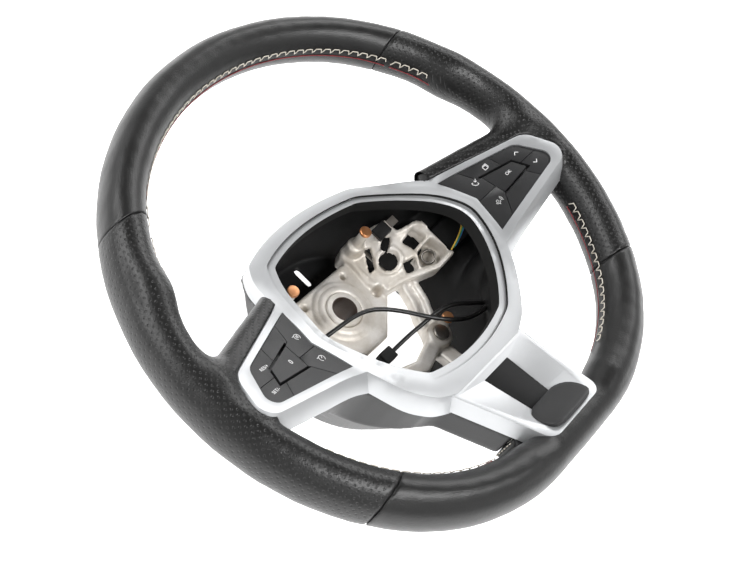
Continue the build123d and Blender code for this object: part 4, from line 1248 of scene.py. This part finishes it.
def text_mark(name, side, key, words, size, x, y):
    curve = bpy.data.curves.new(name, "FONT")
    curve.body = words
    curve.size = size
    curve.align_x = "CENTER"
    curve.align_y = "CENTER"
    curve.extrude = MARK_T
    mesh = curve_mesh(name, curve)
    mesh.transform(pad_matrix(side, x, y))
    print_mark(name, mesh, side, key)


def line_mark(name, side, key, strokes, x, y, width=0.42):
    """A pictogram of thin strokes, each a list of points in millimetres."""
    verts, faces = [], []
    for stroke in strokes:
        for (x0, y0), (x1, y1) in zip(stroke, stroke[1:]):
            run = math.hypot(x1 - x0, y1 - y0)
            ex, ey = (x1 - x0) / run * width / 2, (y1 - y0) / run * width / 2
            base = len(verts)
            for z in (-MARK_T, MARK_T):
                verts += [
                    (x0 - ex + ey, y0 - ey - ex, z),
                    (x1 + ex + ey, y1 + ey - ex, z),
                    (x1 + ex - ey, y1 + ey + ex, z),
                    (x0 - ex - ey, y0 - ey + ex, z),
                ]
            faces += [tuple(base + n for n in f) for f in (
                (3, 2, 1, 0), (4, 5, 6, 7), (0, 1, 5, 4), (1, 2, 6, 5), (2, 3, 7, 6), (3, 0, 4, 7)
            )]
    mesh = mesh_of(verts, faces, smooth=False)
    mesh.transform(pad_matrix(side, x, y) @ Matrix.Scale(1 / MM, 4))
    print_mark(name, mesh, side, key)


def ring(radius, start=0, end=360, steps=20, cx=0.0, cy=0.0):
    angles = [math.radians(start + (end - start) * n / steps) for n in range(steps + 1)]
    return [(cx + radius * math.cos(a), cy + radius * math.sin(a)) for a in angles]


DIAL = [ring(2.1, -60, 240), [(0, 0), (1.0, 1.2)], [(-2.9, 1.6), (-2.1, 1.6)]]
text_mark("mark_res", -1, "outer_upper", "RES/+", 3.1, 129.8, -5.8)
text_mark("mark_set", -1, "outer_lower", "SET/-", 3.1, 138.0, -20.6)
text_mark("mark_zero", -1, "centre", "0", 4.6, 112.0, -12.8)
text_mark("mark_ok", 1, "centre", "OK", 3.4, 118.8, -13.0)
line_mark("mark_limiter", -1, "inner_upper", DIAL + [ring(0.8)], 91.7, -3.0)
line_mark("mark_cruise", -1, "inner_lower", DIAL, 92.8, -22.5)
line_mark("mark_phone", 1, "inner_upper", [
    [(-2.2, 1.4), (-2.4, 0.2), (-1.4, -1.4), (0.2, -2.2), (1.4, -1.8)],
    [(-2.2, 1.4), (-1.4, 1.2)],
    [(1.4, -1.8), (1.2, -1.0)],
    [(0.4, 0.6), (2.2, 2.2)],
    [(0.4, 0.6), (1.6, 0.6)],
    [(0.4, 0.6), (0.4, 1.8)],
], 97.9, -2.8)
line_mark("mark_voice", 1, "inner_lower", [
    ring(0.9, cx=-1.0, cy=0.6),
    ring(2.0, 200, 340, 12, cx=-1.0, cy=0.6),
    [(-1.0, -1.4), (-1.0, -2.2)],
    ring(1.6, -40, 40, 8, cx=0.6, cy=0.6),
    ring(2.6, -40, 40, 8, cx=0.6, cy=0.6),
], 97.3, -23.0)
line_mark("mark_page", 1, "upper", [
    [(-1.8, -1.4), (1.2, -1.4), (1.2, 1.4), (-1.8, 1.4), (-1.8, -1.4)],
    [(-1.0, 1.4), (-1.0, 2.1), (2.0, 2.1), (2.0, -0.8), (1.2, -0.8)],
], 112.0, 0.4)
line_mark("mark_up", 1, "outer_upper", [[(-1.7, -0.7), (0, 0.9), (1.7, -0.7)]], 134.3, -6.5, 0.5)
line_mark("mark_down", 1, "outer_lower", [[(-1.7, 0.7), (0, -0.9), (1.7, 0.7)]], 138.0, -20.4, 0.5)

# Camera
camera = bpy.data.objects.new("camera", bpy.data.cameras.new("camera"))
scene.collection.objects.link(camera)
camera.data.sensor_width = 36.0
camera.data.lens = 62.63
right = Vector((0.5954, -0.7087, 0.3784))
down = Vector((-0.5155, -0.6983, -0.4967))
ahead = Vector((0.6163, 0.1007, -0.7811))
camera.matrix_world = axes_matrix(right, -down, -ahead, (-0.5181, -0.0894, 0.7261))
scene.camera = camera

# Floor and light
FLOOR_REACH = 6.0
FLOOR_Z = -0.0004
FLOOR_LOOK = {
    "Base Color": (0.95, 0.95, 0.95, 1),
    "Roughness": 0.9,
    "Emission Color": (1, 1, 1, 1),
    "Emission Strength": 1.0,
}
floor_mesh = bpy.data.meshes.new("floor")
corners = [(u * FLOOR_REACH, v * FLOOR_REACH, FLOOR_Z) for u, v in ((-1, -1), (1, -1), (1, 1), (-1, 1))]
floor_mesh.from_pydata(corners, [], [(0, 1, 2, 3)])
floor = bpy.data.objects.new("floor", floor_mesh)
scene.collection.objects.link(floor)
floor_mat, floor_tree, floor_shader = new_material("floor_white")
fill(floor_tree, floor_shader, FLOOR_LOOK)
floor_mesh.materials.append(floor_mat)

# Studio: a bright ring round the horizon under a dark ceiling, with three long softboxes
RING_LIGHT = 0.85
CEILING_LIGHT = 0.06
RING_TOP = 0.42
CEILING_FROM = 0.8
world = bpy.data.worlds.new("studio")
world.use_nodes = True
sky = world.node_tree
heading = add_node(sky, "SeparateXYZ", Vector=add_node(sky, "TexCoord").outputs["Generated"])
glow = map_range(sky, heading.outputs["Z"], (RING_LIGHT, CEILING_LIGHT), (RING_TOP, CEILING_FROM))
glow.node.interpolation_type = "SMOOTHSTEP"
fill(sky, sky.nodes["Background"], {"Color": (1, 1, 1, 1), "Strength": glow})
scene.world = world
scene.view_settings.view_transform = "Standard"


def softbox(name, at, long, wide, long_way, power):
    """A long area light that faces the wheel."""
    light = bpy.data.lights.new(name, "AREA")
    light.shape = "RECTANGLE"
    light.size = long
    light.size_y = wide
    light.energy = power
    lamp = bpy.data.objects.new(name, light)
    scene.collection.objects.link(lamp)
    back = (Vector(at) - Vector((0, 0, 0.08))).normalized()
    across = back.cross(Vector(long_way)).normalized()
    along = across.cross(back)
    lamp.matrix_world = axes_matrix(along, across, back, at)


softbox("side_strip", (1.26, 0.29, 1.04), 1.6, 0.35, (0, 1, 0), 11)
softbox("back_strip", (-0.75, 1.05, 1.0), 1.5, 0.4, (1, 0.7, 0), 14)
softbox("overhead_strip", (-0.19, -0.83, 1.44), 1.4, 0.35, (1, 0, 0), 22)
